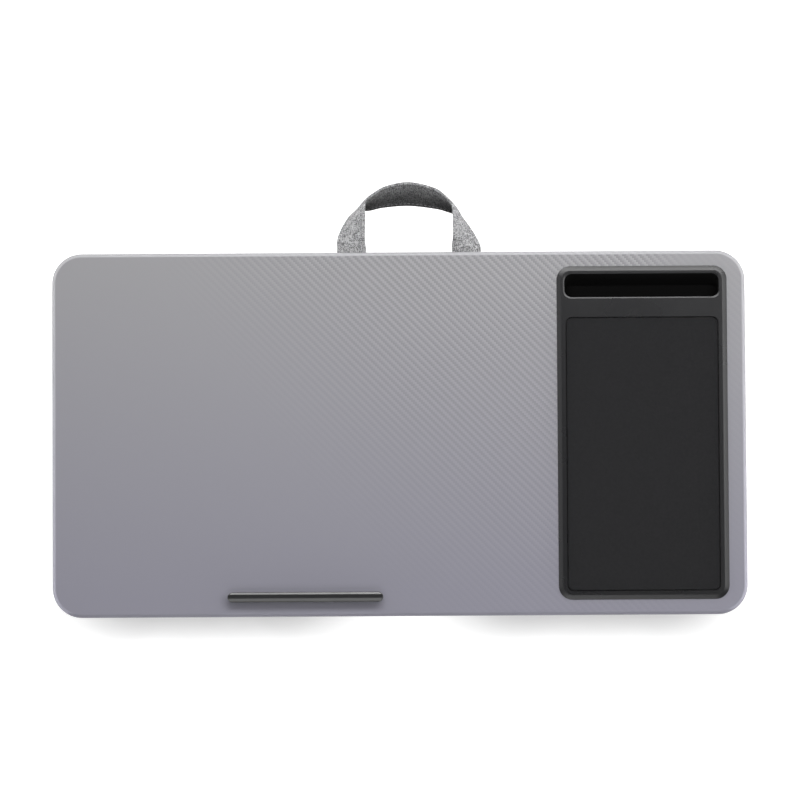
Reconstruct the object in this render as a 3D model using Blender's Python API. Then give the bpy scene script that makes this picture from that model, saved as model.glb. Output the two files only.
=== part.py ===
"""Lap desk: a film-wrapped board on a two-bolster cushion, with a moulded tray for a phone
and a mouse pad, a stop ledge for a computer, and a strap handle at the back.

Metres, +Z up. X is the width, the user sits at -Y, and the desk stands on the XY plane with
its bounding box centred on the origin. Every size below can be changed by itself."""

import math

import bmesh
import bpy
from mathutils import Matrix, Vector

# Clearance between pieces that touch, and how far a cutter runs past a face.
fit_gap = 0.0003
cut_over = 0.003

# Board: a fibreboard core with a rolled edge, wrapped in printed film. Its width is the
# clear worktop, the tray beside it and a margin; its depth is the tray's and two margins.
worktop_width = 0.4245
board_corner = 0.025
board_top = 0.066
core_thickness = 0.0095
edge_round = 0.0035
film_thickness = 0.0005
film_lap = 0.012

# Cloth liner under the hardboard panel, which is as thick as the strap's ends need.
liner_thickness = 0.001

# Moulded tray at the right, as large as the pad and the slot in it need.
tray_corner = 0.0115
tray_side_margin = 0.0155
tray_end_margin = 0.013
tray_wall = 0.002
tray_flange = 0.0052
rim_rise = 0.0014
rim_lip = 0.0003
rim_slope = 0.0055

# Mouse pad let into the tray.
pad_width = 0.127
pad_depth = 0.2286
pad_corner = 0.0048
pad_thickness = 0.002
pad_groove = 0.0008
pad_sink = 0.0005
pad_side_margin = 0.008
pad_front_margin = 0.0078
pad_edge = 0.0004

# Phone slot at the back of the tray, with a back wall that leans.
slot_web = 0.0171
slot_opening = 0.021
slot_floor_run = 0.009
slot_front_draft = 0.001
slot_corner = 0.008
slot_floor_corner = 0.004
slot_lip_round = 0.0012
slot_wall = 0.0018

# Ledge that stops a computer from sliding off, and its pegs.
ledge_length = 0.130
ledge_run = 0.0084
ledge_height = 0.010
ledge_round = 0.0022
ledge_front_margin = 0.0124
peg_radius = 0.0025
peg_end_margin = 0.015

# Screws: countersunk ones through the panel, pan heads under the ledge.
screw_radius = 0.0013
screw_head_radius = 0.0032
screw_head_depth = 0.002
screw_bite = 0.0062
pan_head_radius = 0.0035
pan_head_depth = 0.0018
boss_radius = 0.0042
panel_screw_inset = 0.012

# Strap handle: two flat ends under the back edge and one loop that stands on its edge.
strap_width = 0.0245
strap_thickness = 0.0022
strap_middle = 0.0092
strap_half_span = 0.0486
loop_reach = 0.0585
loop_droop = 0.003
seam_beyond_edge = 0.0025
tab_length = 0.024
tab_clearance = 0.001
plate_width = 0.018
plate_run = 0.011
plate_thickness = 0.0006
plate_corner = 0.002
plate_recess = 0.0001

# Cushion: two bolsters, front to back, with an air channel between them.
cushion_inset = 0.009
channel_width = 0.084
bolster_corner = 0.030
rim_draw = 0.007
side_draw = 0.003
rest_cut = 0.0005
cover_thickness = 0.0015
channel_cloth = 0.0012
channel_cloth_inset = 0.002
liner_overhang = 0.0015
welt_radius = 0.0017

# Shapes that are shares of the sizes above.
widest_height_share = 0.6
rest_share = 0.3
largest_corner_share = 0.9
dome_power = 2.6
dome_root = 2.1
dome_shares = (1.0, 0.98, 0.94, 0.87, 0.77, 0.64, 0.5, 0.39)
rim_shares = (1.0, 0.8, 0.5, 0.25)
rim_turn = math.radians(75)
rib_place_shares = (-0.4, 0.0, 0.4)
boss_place_share = 0.63
pan_crown_share = 0.8
tab_screw_share = 0.58

# The loop of the strap: how far each place lies from the middle of the loop, as a share of
# the half span, and behind the board, as a share of the reach. Then the heading of the
# strap's width and how far its upper edge stands up, in degrees.
left_loop_shares = (
    (0.992, 0.205, 0, 25),
    (0.949, 0.376, 0, 43),
    (0.890, 0.530, 3, 60),
    (0.833, 0.632, 22, 72),
    (0.775, 0.680, 58, 69),
    (0.640, 0.722, 74, 58),
    (0.420, 0.790, 80, 47),
)
middle_loop_shares = (0.0, 0.829, 90, 41)
right_loop_shares = (
    (0.440, 0.765, 98, 48),
    (0.630, 0.688, 103, 59),
    (0.765, 0.608, 118, 72),
    (0.815, 0.505, 168, 72),
    (0.885, 0.370, 180, 57),
    (0.962, 0.205, 180, 34),
)

# How finely round shapes are divided.
corner_steps = 6
edge_steps = 3
bolster_corner_steps = 5
bolster_side_steps = 3
round_steps = 10
strap_steps = 4

# Heights of the layers, from the board down to the cushion. The panel reaches just below
# the steel plates that hold the strap's ends in its notches.
core_top = board_top - film_thickness - fit_gap
core_bottom = core_top - core_thickness
lap_bottom = core_bottom - fit_gap - film_thickness
strap_top = lap_bottom - fit_gap
plate_bottom = strap_top - strap_thickness - fit_gap - plate_thickness
panel_top = core_bottom - fit_gap
panel_bottom = plate_bottom - plate_recess
liner_top = panel_bottom - fit_gap
liner_bottom = liner_top - liner_thickness
cushion_top = liner_bottom - fit_gap
rim_top = board_top + rim_rise

# The rim of the cushion, which the panel above it follows.
panel_inset = cushion_inset + rim_draw
panel_corner = bolster_corner - rim_draw

# The tray round its pad and slot, and the board round its worktop and tray. The walls of
# the slot come down just inside the flange.
slot_back_margin = tray_flange + fit_gap
tray_width = pad_width + 2 * pad_side_margin
tray_depth = pad_front_margin + pad_depth + slot_web + slot_opening + slot_back_margin
slot_width = tray_width - 2 * (tray_flange + slot_wall)
board_width = worktop_width + tray_width + tray_side_margin
board_depth = tray_depth + 2 * tray_end_margin

# Places on the board, measured from its centre.
half_width = board_width / 2
half_depth = board_depth / 2
tray_x = half_width - tray_side_margin - tray_width / 2
tray_front = -tray_depth / 2
pad_y = tray_front + pad_front_margin + pad_depth / 2
slot_back = tray_depth / 2 - slot_back_margin
slot_front = slot_back - slot_opening
ledge_x = (tray_x - tray_width / 2 - half_width) / 2
ledge_y = -half_depth + ledge_front_margin + ledge_run / 2
skirt_half_x = tray_width / 2 - tray_flange - fit_gap
skirt_half_y = tray_depth / 2 - tray_flange - fit_gap
skirt_corner = tray_corner - tray_flange
pad_floor_top = rim_top - pad_sink - pad_thickness - fit_gap
pad_floor_bottom = pad_floor_top - tray_wall
pocket_bottom = panel_bottom + fit_gap
slot_floor = pocket_bottom + slot_wall
strap_z = strap_top - strap_thickness / 2
seam_y = half_depth + seam_beyond_edge
strap_places = (strap_middle - strap_half_span, strap_middle + strap_half_span)


def clear_scene():
    """Removes every object, so that the desk is built in an empty scene."""
    for old in list(bpy.data.objects):
        bpy.data.objects.remove(old, do_unlink=True)


def make_material(name, colour, roughness, metallic=0.0):
    """One Principled material of a plain linear colour."""
    material = bpy.data.materials.new(name)
    material.use_nodes = True
    shader = material.node_tree.nodes["Principled BSDF"]
    shader.inputs["Base Color"].default_value = (*colour, 1.0)
    shader.inputs["Roughness"].default_value = roughness
    shader.inputs["Metallic"].default_value = metallic
    material.diffuse_color = (*colour, 1.0)
    return material


def place_mesh(name, bm, material, smooth_angle=math.radians(35)):
    """Turns a bmesh into an object of the desk, with sharp edges kept sharp."""
    bmesh.ops.recalc_face_normals(bm, faces=bm.faces)
    mesh = bpy.data.meshes.new(name)
    bm.to_mesh(mesh)
    bm.free()
    mesh.shade_smooth()
    mesh.set_sharp_from_angle(angle=smooth_angle)
    if material:
        mesh.materials.append(material)
    piece = bpy.data.objects.new(name, mesh)
    bpy.context.scene.collection.objects.link(piece)
    piece.parent = desk
    return piece


def boolean(piece, bm, label, operation):
    """Cuts the shape out of the piece, or joins it on. The helper isn't rendered."""
    helper = place_mesh(piece.name + "_" + label, bm, None)
    helper.hide_render = True
    helper.display_type = "WIRE"
    step = piece.modifiers.new(label, "BOOLEAN")
    step.operation = operation
    step.solver = "EXACT"
    step.object = helper


def outline(half_x, half_y, radius, centre=(0, 0), arcs=corner_steps, sides=1, draw=0):
    """A rounded rectangle, counter-clockwise. Its sides are drawn in between the corners."""
    radius = min(radius, half_x, half_y)
    corners = ((1, 1, 0), (-1, 1, 90), (-1, -1, 180), (1, -1, 270))
    loop = []
    for turn, (way_x, way_y, start) in enumerate(corners):
        middle = Vector((way_x * (half_x - radius), way_y * (half_y - radius)))
        for step in range(arcs + 1):
            angle = math.radians(start + 90 * step / arcs)
            loop.append(middle + radius * Vector((math.cos(angle), math.sin(angle))))
        next_x, next_y, _ = corners[(turn + 1) % 4]
        begin = loop[-1]
        end_middle = Vector((next_x * (half_x - radius), next_y * (half_y - radius)))
        angle = math.radians(start + 90)
        outward = Vector((math.cos(angle), math.sin(angle)))
        end = end_middle + radius * outward
        for step in range(1, sides):
            share = step / sides
            pull = draw * 4 * share * (1 - share)
            loop.append(begin.lerp(end, share) - pull * outward)
    return [point + Vector(centre) for point in loop]


def loft(bm, rings):
    """Skins a list of (outline, height) rings that have as many points each, and caps it."""
    loops = [[bm.verts.new((*point, height)) for point in flat] for flat, height in rings]
    for low, high in zip(loops, loops[1:]):
        for index, corner in enumerate(low):
            after = (index + 1) % len(low)
            bm.faces.new((corner, low[after], high[after], high[index]))
    bm.faces.new(reversed(loops[0]))
    bm.faces.new(loops[-1])


def prism(bm, flat, low, high):
    """An upright prism over an outline."""
    loft(bm, ((flat, low), (flat, high)))


def turned(bm, centre, profile, steps=round_steps):
    """A shape turned about an upright axis, from (radius, height) points, bottom to top."""
    circle = [math.tau * step / steps for step in range(steps)]
    rings = []
    for radius, height in profile:
        flat = [
            Vector((centre[0] + radius * math.cos(a), centre[1] + radius * math.sin(a)))
            for a in circle
        ]
        rings.append((flat, height))
    loft(bm, rings)


def cylinder(bm, centre, radius, low, high):
    turned(bm, centre, ((radius, low), (radius, high)))


def round_edge(half_x, half_y, corner, radius, low, high, centre=(0, 0)):
    """Rings of a plate whose upper and lower edges are rolled."""
    turns = [math.radians(90 * step / edge_steps) for step in range(edge_steps + 1)]
    rings = []
    for angle in turns:
        inset = radius * (1 - math.sin(angle))
        flat = outline(half_x - inset, half_y - inset, corner - inset, centre)
        rings.append((flat, low + radius * (1 - math.cos(angle))))
    for angle in reversed(turns):
        inset = radius * (1 - math.sin(angle))
        flat = outline(half_x - inset, half_y - inset, corner - inset, centre)
        rings.append((flat, high - radius * (1 - math.cos(angle))))
    return rings


def countersunk_profile(head_z, tip_z, grow=0):
    """A countersunk screw that points up, or with grow the hole that it needs."""
    return (
        (screw_head_radius + grow, head_z - (cut_over if grow else 0)),
        (screw_head_radius + grow, head_z + grow),
        (screw_radius + grow, head_z + screw_head_depth + grow),
        (screw_radius + grow, tip_z - screw_radius + grow),
        (screw_radius / 2, tip_z + grow),
    )


def pan_profile(seat_z, tip_z):
    """A pan-head screw that points up, its head below seat_z."""
    head_z = seat_z - pan_head_depth
    return (
        (pan_head_radius * pan_crown_share, head_z),
        (pan_head_radius, head_z + pan_head_depth / 2),
        (pan_head_radius, seat_z),
        (screw_radius, seat_z),
        (screw_radius, tip_z - screw_radius),
        (screw_radius / 2, tip_z),
    )


def make_screw(name, centre, profile):
    bm = bmesh.new()
    turned(bm, centre, profile)
    place_mesh(name, bm, steel)


def panel_screw_places():
    """Two rows of screws left of the tray: beside, between and past the strap's ends."""
    strap_side = strap_half_span + strap_width / 2
    first = -half_width + panel_inset + panel_screw_inset
    second = (first + strap_middle - strap_side) / 2
    last = (strap_middle + strap_side + tray_x - tray_width / 2) / 2
    row = half_depth - panel_inset - panel_screw_inset
    return [(x, y) for x in (first, second, strap_middle, last) for y in (-row, row)]


def boss_places():
    """Two screw bosses on each rib under the mouse pad."""
    places = []
    for share in rib_place_shares:
        y = pad_y + share * pad_depth / 2
        places.append((tray_x - boss_place_share * skirt_half_x, y))
        places.append((tray_x + boss_place_share * skirt_half_x, y))
    return places


def peg_places():
    spacing = ledge_length / 2 - peg_end_margin
    return [(ledge_x + step * spacing, ledge_y) for step in (-1, 0, 1)]


def plate_places():
    """Where a steel plate and a screw hold each end of the strap under the board."""
    back = half_depth - panel_inset
    return [(x, back - tab_screw_share * tab_length) for x in strap_places]


def make_board_core():
    bm = bmesh.new()
    inset = film_thickness + fit_gap
    half_x = half_width - inset
    half_y = half_depth - inset
    radius = edge_round - inset
    loft(bm, round_edge(half_x, half_y, board_corner - inset, radius, core_bottom, core_top))
    core = place_mesh("board_core", bm, fibreboard)
    cuts = bmesh.new()
    window = outline(
        skirt_half_x + fit_gap, skirt_half_y + fit_gap, skirt_corner + fit_gap, (tray_x, 0)
    )
    prism(cuts, window, core_bottom - cut_over, core_top + cut_over)
    for place in peg_places():
        cylinder(cuts, place, peg_radius + fit_gap, core_bottom - cut_over, core_top + cut_over)
    tip = panel_top + fit_gap + screw_bite
    for place in panel_screw_places():
        turned(cuts, place, countersunk_profile(panel_bottom, tip, fit_gap))
    for place in plate_places():
        turned(cuts, place, countersunk_profile(plate_bottom, tip, fit_gap))
    boolean(core, cuts, "cuts", "DIFFERENCE")


def make_board_film():
    """One skin over the top and round the rolled edge, folded under the board."""
    bm = bmesh.new()
    outer = round_edge(half_width, half_depth, board_corner, edge_round, lap_bottom, board_top)
    skin = film_thickness
    inner = round_edge(
        half_width - skin,
        half_depth - skin,
        board_corner - skin,
        edge_round - skin,
        lap_bottom + skin,
        board_top - skin,
    )
    lap = outline(half_width - film_lap, half_depth - film_lap, board_corner - film_lap)
    rings = list(reversed(outer)) + [(lap, lap_bottom), (lap, lap_bottom + skin)] + inner
    loft(bm, rings)
    film = place_mesh("board_film", bm, print_film)
    cuts = bmesh.new()
    window = outline(
        skirt_half_x + fit_gap, skirt_half_y + fit_gap, skirt_corner + fit_gap, (tray_x, 0)
    )
    prism(cuts, window, core_top - cut_over, board_top + cut_over)
    for place in peg_places():
        cylinder(cuts, place, peg_radius + fit_gap, core_top - cut_over, board_top + cut_over)
        cylinder(cuts, place, pan_head_radius + fit_gap, lap_bottom - cut_over, core_bottom)
    boolean(film, cuts, "cuts", "DIFFERENCE")


def make_base_panel():
    bm = bmesh.new()
    flat = outline(half_width - panel_inset, half_depth - panel_inset, panel_corner)
    prism(bm, flat, panel_bottom, panel_top)
    panel = place_mesh("base_panel", bm, hardboard)
    cuts = bmesh.new()
    low = panel_bottom - cut_over
    high = panel_top + cut_over
    tip = panel_top + fit_gap + screw_bite
    for place in panel_screw_places() + boss_places():
        turned(cuts, place, countersunk_profile(panel_bottom, tip, fit_gap))
    notch_half = strap_width / 2 + tab_clearance
    notch_y = half_depth - panel_inset
    notch_run = tab_length + tab_clearance
    for x in strap_places:
        prism(cuts, outline(notch_half, notch_run, tab_clearance, (x, notch_y)), low, high)
    for x, y in peg_places():
        half = pan_head_radius + tab_clearance
        run = half + abs(y + half_depth)
        prism(cuts, outline(half, run, half, (x, -half_depth)), low, high)
    pocket_half_x, pocket_front, pocket_back = pocket_outer()
    pocket_y = (pocket_front + pocket_back) / 2
    pocket_half_y = (pocket_back - pocket_front) / 2 + fit_gap
    corner = slot_floor_corner + slot_wall
    prism(cuts, outline(pocket_half_x + fit_gap, pocket_half_y, corner, (tray_x, pocket_y)), low, high)
    boolean(panel, cuts, "cuts", "DIFFERENCE")


def pocket_outer():
    """Half width, front and back of the slot's pocket where it passes through the panel.

    Its back clears the leaning wall of the slot by a wall where the skirt ends."""
    front = slot_front + slot_front_draft - slot_wall
    skirt_sink = (rim_top - panel_top - fit_gap) / (rim_top - slot_floor)
    floor_back = slot_front + slot_front_draft + slot_floor_run
    back = slot_back + (floor_back - slot_back) * skirt_sink + slot_wall
    return slot_width / 2 - slot_front_draft + slot_wall, front, back


def slot_ring(sink, grow):
    """Outline of the phone slot at a depth share from 0, the lip, to 1, the floor."""
    front = slot_front + slot_front_draft * sink
    back = slot_back + (slot_front + slot_front_draft + slot_floor_run - slot_back) * sink
    half_x = slot_width / 2 - slot_front_draft * sink
    corner = slot_corner + (slot_floor_corner - slot_corner) * sink
    centre = (tray_x, (front + back) / 2)
    return outline(half_x + grow, (back - front) / 2 + grow, corner + grow, centre)


def slot_height(sink):
    return rim_top + (slot_floor - rim_top) * sink


def make_tray():
    bm = bmesh.new()
    low = board_top + fit_gap
    plateau_rings = [(0.0, 0.0)]
    for step in range(1, edge_steps + 1):
        share = step / edge_steps
        plateau_rings.append((share, math.sin(math.radians(90) * share)))
    rings = [(outline(tray_width / 2, tray_depth / 2, tray_corner, (tray_x, 0)), low)]
    for run, rise in plateau_rings:
        inset = rim_slope * run
        height = low + rim_lip + (rim_top - low - rim_lip) * rise
        flat = outline(
            tray_width / 2 - inset, tray_depth / 2 - inset, tray_corner - inset, (tray_x, 0)
        )
        rings.append((flat, height))
    loft(bm, rings)
    tray = place_mesh("phone_mouse_tray", bm, moulded_plastic)
    skirt = bmesh.new()
    prism(
        skirt,
        outline(skirt_half_x, skirt_half_y, skirt_corner, (tray_x, 0)),
        panel_top + fit_gap,
        (low + rim_top) / 2,
    )
    boolean(tray, skirt, "skirt", "UNION")
    pocket_half_x, pocket_front, pocket_back = pocket_outer()
    pocket = bmesh.new()
    centre = (tray_x, (pocket_front + pocket_back) / 2)
    half_y = (pocket_back - pocket_front) / 2
    corner = slot_floor_corner + slot_wall
    prism(pocket, outline(pocket_half_x, half_y, corner, centre), pocket_bottom, slot_height(0.5))
    boolean(tray, pocket, "pocket", "UNION")
    hollows = bmesh.new()
    floor_low = panel_top + fit_gap - cut_over
    inner_x = skirt_half_x - tray_wall
    edges = [-skirt_half_y + tray_wall]
    for share in rib_place_shares:
        rib_y = pad_y + share * pad_depth / 2
        edges += [rib_y - tray_wall / 2, rib_y + tray_wall / 2]
    edges.append(pocket_front - tray_wall / 2)
    for front, back in zip(edges[0::2], edges[1::2]):
        flat = outline(inner_x, (back - front) / 2, tray_wall, (tray_x, (front + back) / 2))
        prism(hollows, flat, floor_low, pad_floor_bottom)
    boolean(tray, hollows, "hollows", "DIFFERENCE")
    bosses = bmesh.new()
    for place in boss_places():
        cylinder(bosses, place, boss_radius, panel_top + fit_gap, pad_floor_bottom + tray_wall / 2)
    boolean(tray, bosses, "bosses", "UNION")
    cuts = bmesh.new()
    groove = outline(
        pad_width / 2 + pad_groove,
        pad_depth / 2 + pad_groove,
        pad_corner + pad_groove,
        (tray_x, pad_y),
    )
    prism(cuts, groove, pad_floor_top, rim_top + cut_over)
    lip = slot_lip_round
    depth = rim_top - slot_floor
    slot_rings = []
    for step in range(edge_steps + 1):
        angle = math.radians(90 * step / edge_steps)
        rise = lip * (1 - math.cos(angle))
        slot_rings.append((slot_ring(1 - rise / depth, -lip * (1 - math.sin(angle))), slot_floor + rise))
    for step in range(edge_steps + 1):
        angle = math.radians(90 * step / edge_steps)
        sink = lip * (1 - math.sin(angle)) / depth
        slot_rings.append((slot_ring(sink, lip * (1 - math.cos(angle))), slot_height(sink)))
    slot_rings.append((slot_ring(0, lip), rim_top + cut_over))
    loft(cuts, slot_rings)
    tip = panel_top + fit_gap + screw_bite
    for place in boss_places():
        turned(cuts, place, countersunk_profile(panel_bottom, tip, fit_gap))
    boolean(tray, cuts, "cuts", "DIFFERENCE")


def make_mouse_pad():
    bm = bmesh.new()
    top = rim_top - pad_sink
    half_x = pad_width / 2
    half_y = pad_depth / 2
    flat = outline(half_x, half_y, pad_corner, (tray_x, pad_y))
    eased = outline(half_x - pad_edge, half_y - pad_edge, pad_corner - pad_edge, (tray_x, pad_y))
    loft(bm, ((flat, top - pad_thickness), (flat, top - pad_edge), (eased, top)))
    place_mesh("mouse_pad", bm, pad_cloth)


def make_ledge():
    low = board_top + fit_gap
    high = low + ledge_height
    centre = (ledge_x, ledge_y)
    half_x = ledge_length / 2
    half_y = ledge_run / 2
    bm = bmesh.new()
    rings = [(outline(half_x, half_y, half_y, centre), low)]
    for step in range(edge_steps + 1):
        angle = math.radians(90 * step / edge_steps)
        inset = ledge_round * (1 - math.cos(angle))
        flat = outline(half_x - inset, half_y - inset, half_y - inset, centre)
        rings.append((flat, high - ledge_round * (1 - math.sin(angle))))
    loft(bm, rings)
    ledge = place_mesh("device_ledge", bm, gloss_plastic)
    pegs = bmesh.new()
    for place in peg_places():
        cylinder(pegs, place, peg_radius, core_bottom + fit_gap, low + ledge_height / 2)
    boolean(ledge, pegs, "pegs", "UNION")
    bores = bmesh.new()
    tip = core_bottom + screw_bite
    for place in peg_places():
        cylinder(bores, place, screw_radius + fit_gap, core_bottom - cut_over, tip + fit_gap)
    boolean(ledge, bores, "bores", "DIFFERENCE")
    seat = core_bottom - fit_gap
    for number, place in enumerate(peg_places(), 1):
        make_screw(f"ledge_screw_{number}", place, pan_profile(seat, tip))


def make_panel_screws():
    tip = panel_top + screw_bite
    for number, place in enumerate(panel_screw_places(), 1):
        make_screw(f"panel_screw_{number}", place, countersunk_profile(panel_bottom, tip))
    for number, place in enumerate(boss_places(), 1):
        make_screw(f"tray_screw_{number}", place, countersunk_profile(panel_bottom, tip))


def make_strap_ends():
    """The flat ends of the strap, each under a steel plate with one screw."""
    tip = panel_top + screw_bite
    back = half_depth - panel_inset
    end = seam_y - strap_thickness / 2 - fit_gap
    begin = back - tab_length
    for side, x, place in zip(("left", "right"), strap_places, plate_places()):
        bm = bmesh.new()
        flat = outline(strap_width / 2, (end - begin) / 2, 0, (x, (begin + end) / 2), arcs=1)
        prism(bm, flat, strap_top - strap_thickness, strap_top)
        bmesh.ops.remove_doubles(bm, verts=bm.verts, dist=fit_gap / 10)
        tab = place_mesh(f"strap_tab_{side}", bm, strap_cloth)
        hole = bmesh.new()
        turned(hole, place, countersunk_profile(plate_bottom, tip, fit_gap))
        boolean(tab, hole, "hole", "DIFFERENCE")
        bm = bmesh.new()
        flat = outline(plate_width / 2, plate_run / 2, plate_corner, place, arcs=edge_steps)
        prism(bm, flat, plate_bottom, plate_bottom + plate_thickness)
        plate = place_mesh(f"strap_plate_{side}", bm, steel)
        hole = bmesh.new()
        turned(hole, place, countersunk_profile(plate_bottom, tip, fit_gap))
        boolean(plate, hole, "hole", "DIFFERENCE")
        make_screw(f"strap_screw_{side}", place, countersunk_profile(plate_bottom, tip))


def strap_places_on_loop():
    """Rows of (centre, heading, tilt) along the loop, from the left seam to the right one."""
    reach = seam_y - half_depth
    rows = [(-strap_half_span, reach, 0, 0)]
    for across, out, heading, tilt in left_loop_shares:
        rows.append((-strap_half_span * across, loop_reach * out, heading, tilt))
    across, out, heading, tilt = middle_loop_shares
    rows.append((strap_half_span * across, loop_reach * out, heading, tilt))
    for across, out, heading, tilt in right_loop_shares:
        rows.append((strap_half_span * across, loop_reach * out, heading, tilt))
    rows.append((strap_half_span, reach, 180, 0))
    places = []
    for x, y, heading, tilt in rows:
        droop = loop_droop * ((y - reach) / loop_reach) ** 2
        places.append((Vector((strap_middle + x, half_depth + y, strap_z - droop)), heading, tilt))
    return places


def smooth_between(before, low, high, after, share):
    """A smooth curve through low and high, at a share of the way between them."""
    straight = (high - low) * share + low
    bend_low = (low * 2 - before - high) * share * (1 - share) ** 2
    bend_high = (high * 2 - low - after) * share**2 * (1 - share)
    return straight + (bend_low + bend_high) / 2


def strap_sections():
    """The four corners of the strap at each place along the loop, with rounded ends."""
    rows = strap_places_on_loop()
    out_of_seam = Vector((0, loop_reach * left_loop_shares[0][1], 0))
    first = (rows[0][0] - out_of_seam, rows[0][1], rows[0][2])
    last = (rows[-1][0] - out_of_seam, rows[-1][1], rows[-1][2])
    padded = [first, *rows, last]
    path = []
    for index in range(1, len(padded) - 2):
        for step in range(strap_steps):
            share = step / strap_steps
            four = padded[index - 1 : index + 3]
            path.append([smooth_between(*column, share) for column in zip(*four)])
    path.append(list(rows[-1]))
    sections = []
    for index, (centre, heading, tilt) in enumerate(path):
        before = path[max(index - 1, 0)][0]
        after = path[min(index + 1, len(path) - 1)][0]
        along = (after - before).normalized()
        if index in (0, len(path) - 1):
            along = Vector((0, 1, 0)) if index == 0 else Vector((0, -1, 0))
        yaw = math.radians(heading)
        rise = math.radians(max(tilt, 0))
        width = Vector((math.cos(rise) * math.cos(yaw), math.cos(rise) * math.sin(yaw), math.sin(rise)))
        inner = along.cross(width).normalized()
        sections.append((centre, along, width * strap_width / 2, inner * strap_thickness / 2))
    first, last = sections[0], sections[-1]
    for angle in (25, 50, 75):
        turn = math.radians(angle)
        for end, way in ((first, -1), (last, 1)):
            centre, along, width, inner = end
            step = centre + way * along * math.sin(turn) * strap_thickness / 2
            round_end = (step, along, width, inner * math.cos(turn))
            sections = [round_end, *sections] if way < 0 else [*sections, round_end]
    return [
        (centre - width - inner, centre + width - inner, centre + width + inner, centre - width + inner)
        for centre, _, width, inner in sections
    ]


def make_handle_strap(sections):
    bm = bmesh.new()
    pivot = Vector((strap_middle, seam_y, strap_z))
    loops = [[bm.verts.new(corner - pivot) for corner in section] for section in sections]
    for low, high in zip(loops, loops[1:]):
        for index in range(4):
            after = (index + 1) % 4
            bm.faces.new((low[index], low[after], high[after], high[index]))
    bm.faces.new(reversed(loops[0]))
    bm.faces.new(loops[-1])
    strap = place_mesh("handle_strap", bm, strap_cloth)
    hinge = bpy.data.objects.new("handle_hinge", None)
    bpy.context.scene.collection.objects.link(hinge)
    hinge.parent = desk
    hinge.location = pivot
    strap.parent = hinge


def bolster_rings(centre_x, inward, bottom):
    """Rings of a bolster from its rim to the flat that it rests on.

    inward moves its sides in and bottom is the height of its flat, so that the same form
    serves for both faces of the cover and for the fill."""
    half_x = (half_width - cushion_inset - channel_width / 2) / 2 - inward
    half_y = half_depth - cushion_inset - inward
    corner = bolster_corner - inward
    widest = cushion_top * widest_height_share

    def ring(inset, draw):
        return outline(
            half_x - inset,
            half_y - inset,
            min(corner, largest_corner_share * (min(half_x, half_y) - inset)),
            (centre_x, 0),
            arcs=bolster_corner_steps,
            sides=bolster_side_steps,
            draw=draw,
        )

    rings = []
    for share in rim_shares:
        inset = rim_draw * (1 - math.cos(rim_turn * share)) / (1 - math.cos(rim_turn))
        height = widest + (cushion_top - widest) * share
        rings.append((ring(inset, side_draw * (1 - share)), height))
    narrow = min(half_x, half_y)
    fall = widest - bottom
    for share in (*dome_shares, rest_share):
        dome = (1 - share**dome_power) ** (1 / dome_root)
        height = bottom + max(0, fall - (fall + rest_cut) * dome)
        if share == rest_share:
            height = bottom
        rings.append((ring(narrow * (1 - share), side_draw * share), height))
    return rings


def make_bolsters():
    centre = (half_width - cushion_inset + channel_width / 2) / 2
    for side, way in (("left", -1), ("right", 1)):
        outer = bolster_rings(way * centre, 0, 0)
        inner = bolster_rings(way * centre, cover_thickness, cover_thickness)
        bm = bmesh.new()
        loft(bm, list(reversed(inner)) + outer)
        place_mesh(f"{side}_bolster_cover", bm, cushion_cloth)
        space = cover_thickness + fit_gap
        bm = bmesh.new()
        loft(bm, list(reversed(bolster_rings(way * centre, space, space))))
        place_mesh(f"{side}_bolster_fill", bm, fibre_fill)


def make_liner_and_channel():
    inset = panel_inset - liner_overhang
    corner = panel_corner + liner_overhang
    bm = bmesh.new()
    prism(bm, outline(half_width - inset, half_depth - inset, corner), liner_bottom, liner_top)
    place_mesh("cushion_liner", bm, liner_cloth)
    bm = bmesh.new()
    half_x = channel_width / 2 + rim_draw - channel_cloth_inset
    half_y = half_depth - panel_inset
    flat = outline(half_x, half_y, channel_cloth_inset, arcs=edge_steps)
    prism(bm, flat, cushion_top - channel_cloth, cushion_top)
    place_mesh("channel_panel", bm, cushion_cloth)


def make_welt():
    """A round cord in cloth along the top seam of the cushion."""
    beyond = liner_overhang + fit_gap + welt_radius
    inset = panel_inset - beyond
    corner = panel_corner + beyond
    path = outline(half_width - inset, half_depth - inset, corner, sides=bolster_side_steps)
    curve = bpy.data.curves.new("cushion_welt", "CURVE")
    curve.dimensions = "3D"
    curve.bevel_depth = welt_radius
    curve.bevel_resolution = 2
    spline = curve.splines.new("POLY")
    spline.points.add(len(path) - 1)
    for point, place in zip(spline.points, path):
        point.co = (*place, liner_bottom, 1)
    spline.use_cyclic_u = True
    curve.materials.append(cushion_cloth)
    welt = bpy.data.objects.new("cushion_welt", curve)
    bpy.context.scene.collection.objects.link(welt)
    welt.parent = desk


clear_scene()
fibreboard = make_material("fibreboard", (0.36, 0.24, 0.14), 0.8)
hardboard = make_material("hardboard", (0.16, 0.09, 0.05), 0.7)
print_film = make_material("print_film", (0.31, 0.30, 0.34), 0.45)
moulded_plastic = make_material("moulded_plastic", (0.03, 0.03, 0.032), 0.4)
gloss_plastic = make_material("gloss_plastic", (0.015, 0.015, 0.017), 0.15)
pad_cloth = make_material("pad_cloth", (0.026, 0.026, 0.028), 0.9)
strap_cloth = make_material("strap_cloth", (0.30, 0.30, 0.31), 0.95)
cushion_cloth = make_material("cushion_cloth", (0.26, 0.26, 0.27), 0.95)
liner_cloth = make_material("liner_cloth", (0.05, 0.05, 0.05), 0.95)
fibre_fill = make_material("fibre_fill", (0.80, 0.80, 0.78), 1.0)
steel = make_material("zinc_steel", (0.55, 0.56, 0.58), 0.35, 1.0)

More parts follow.
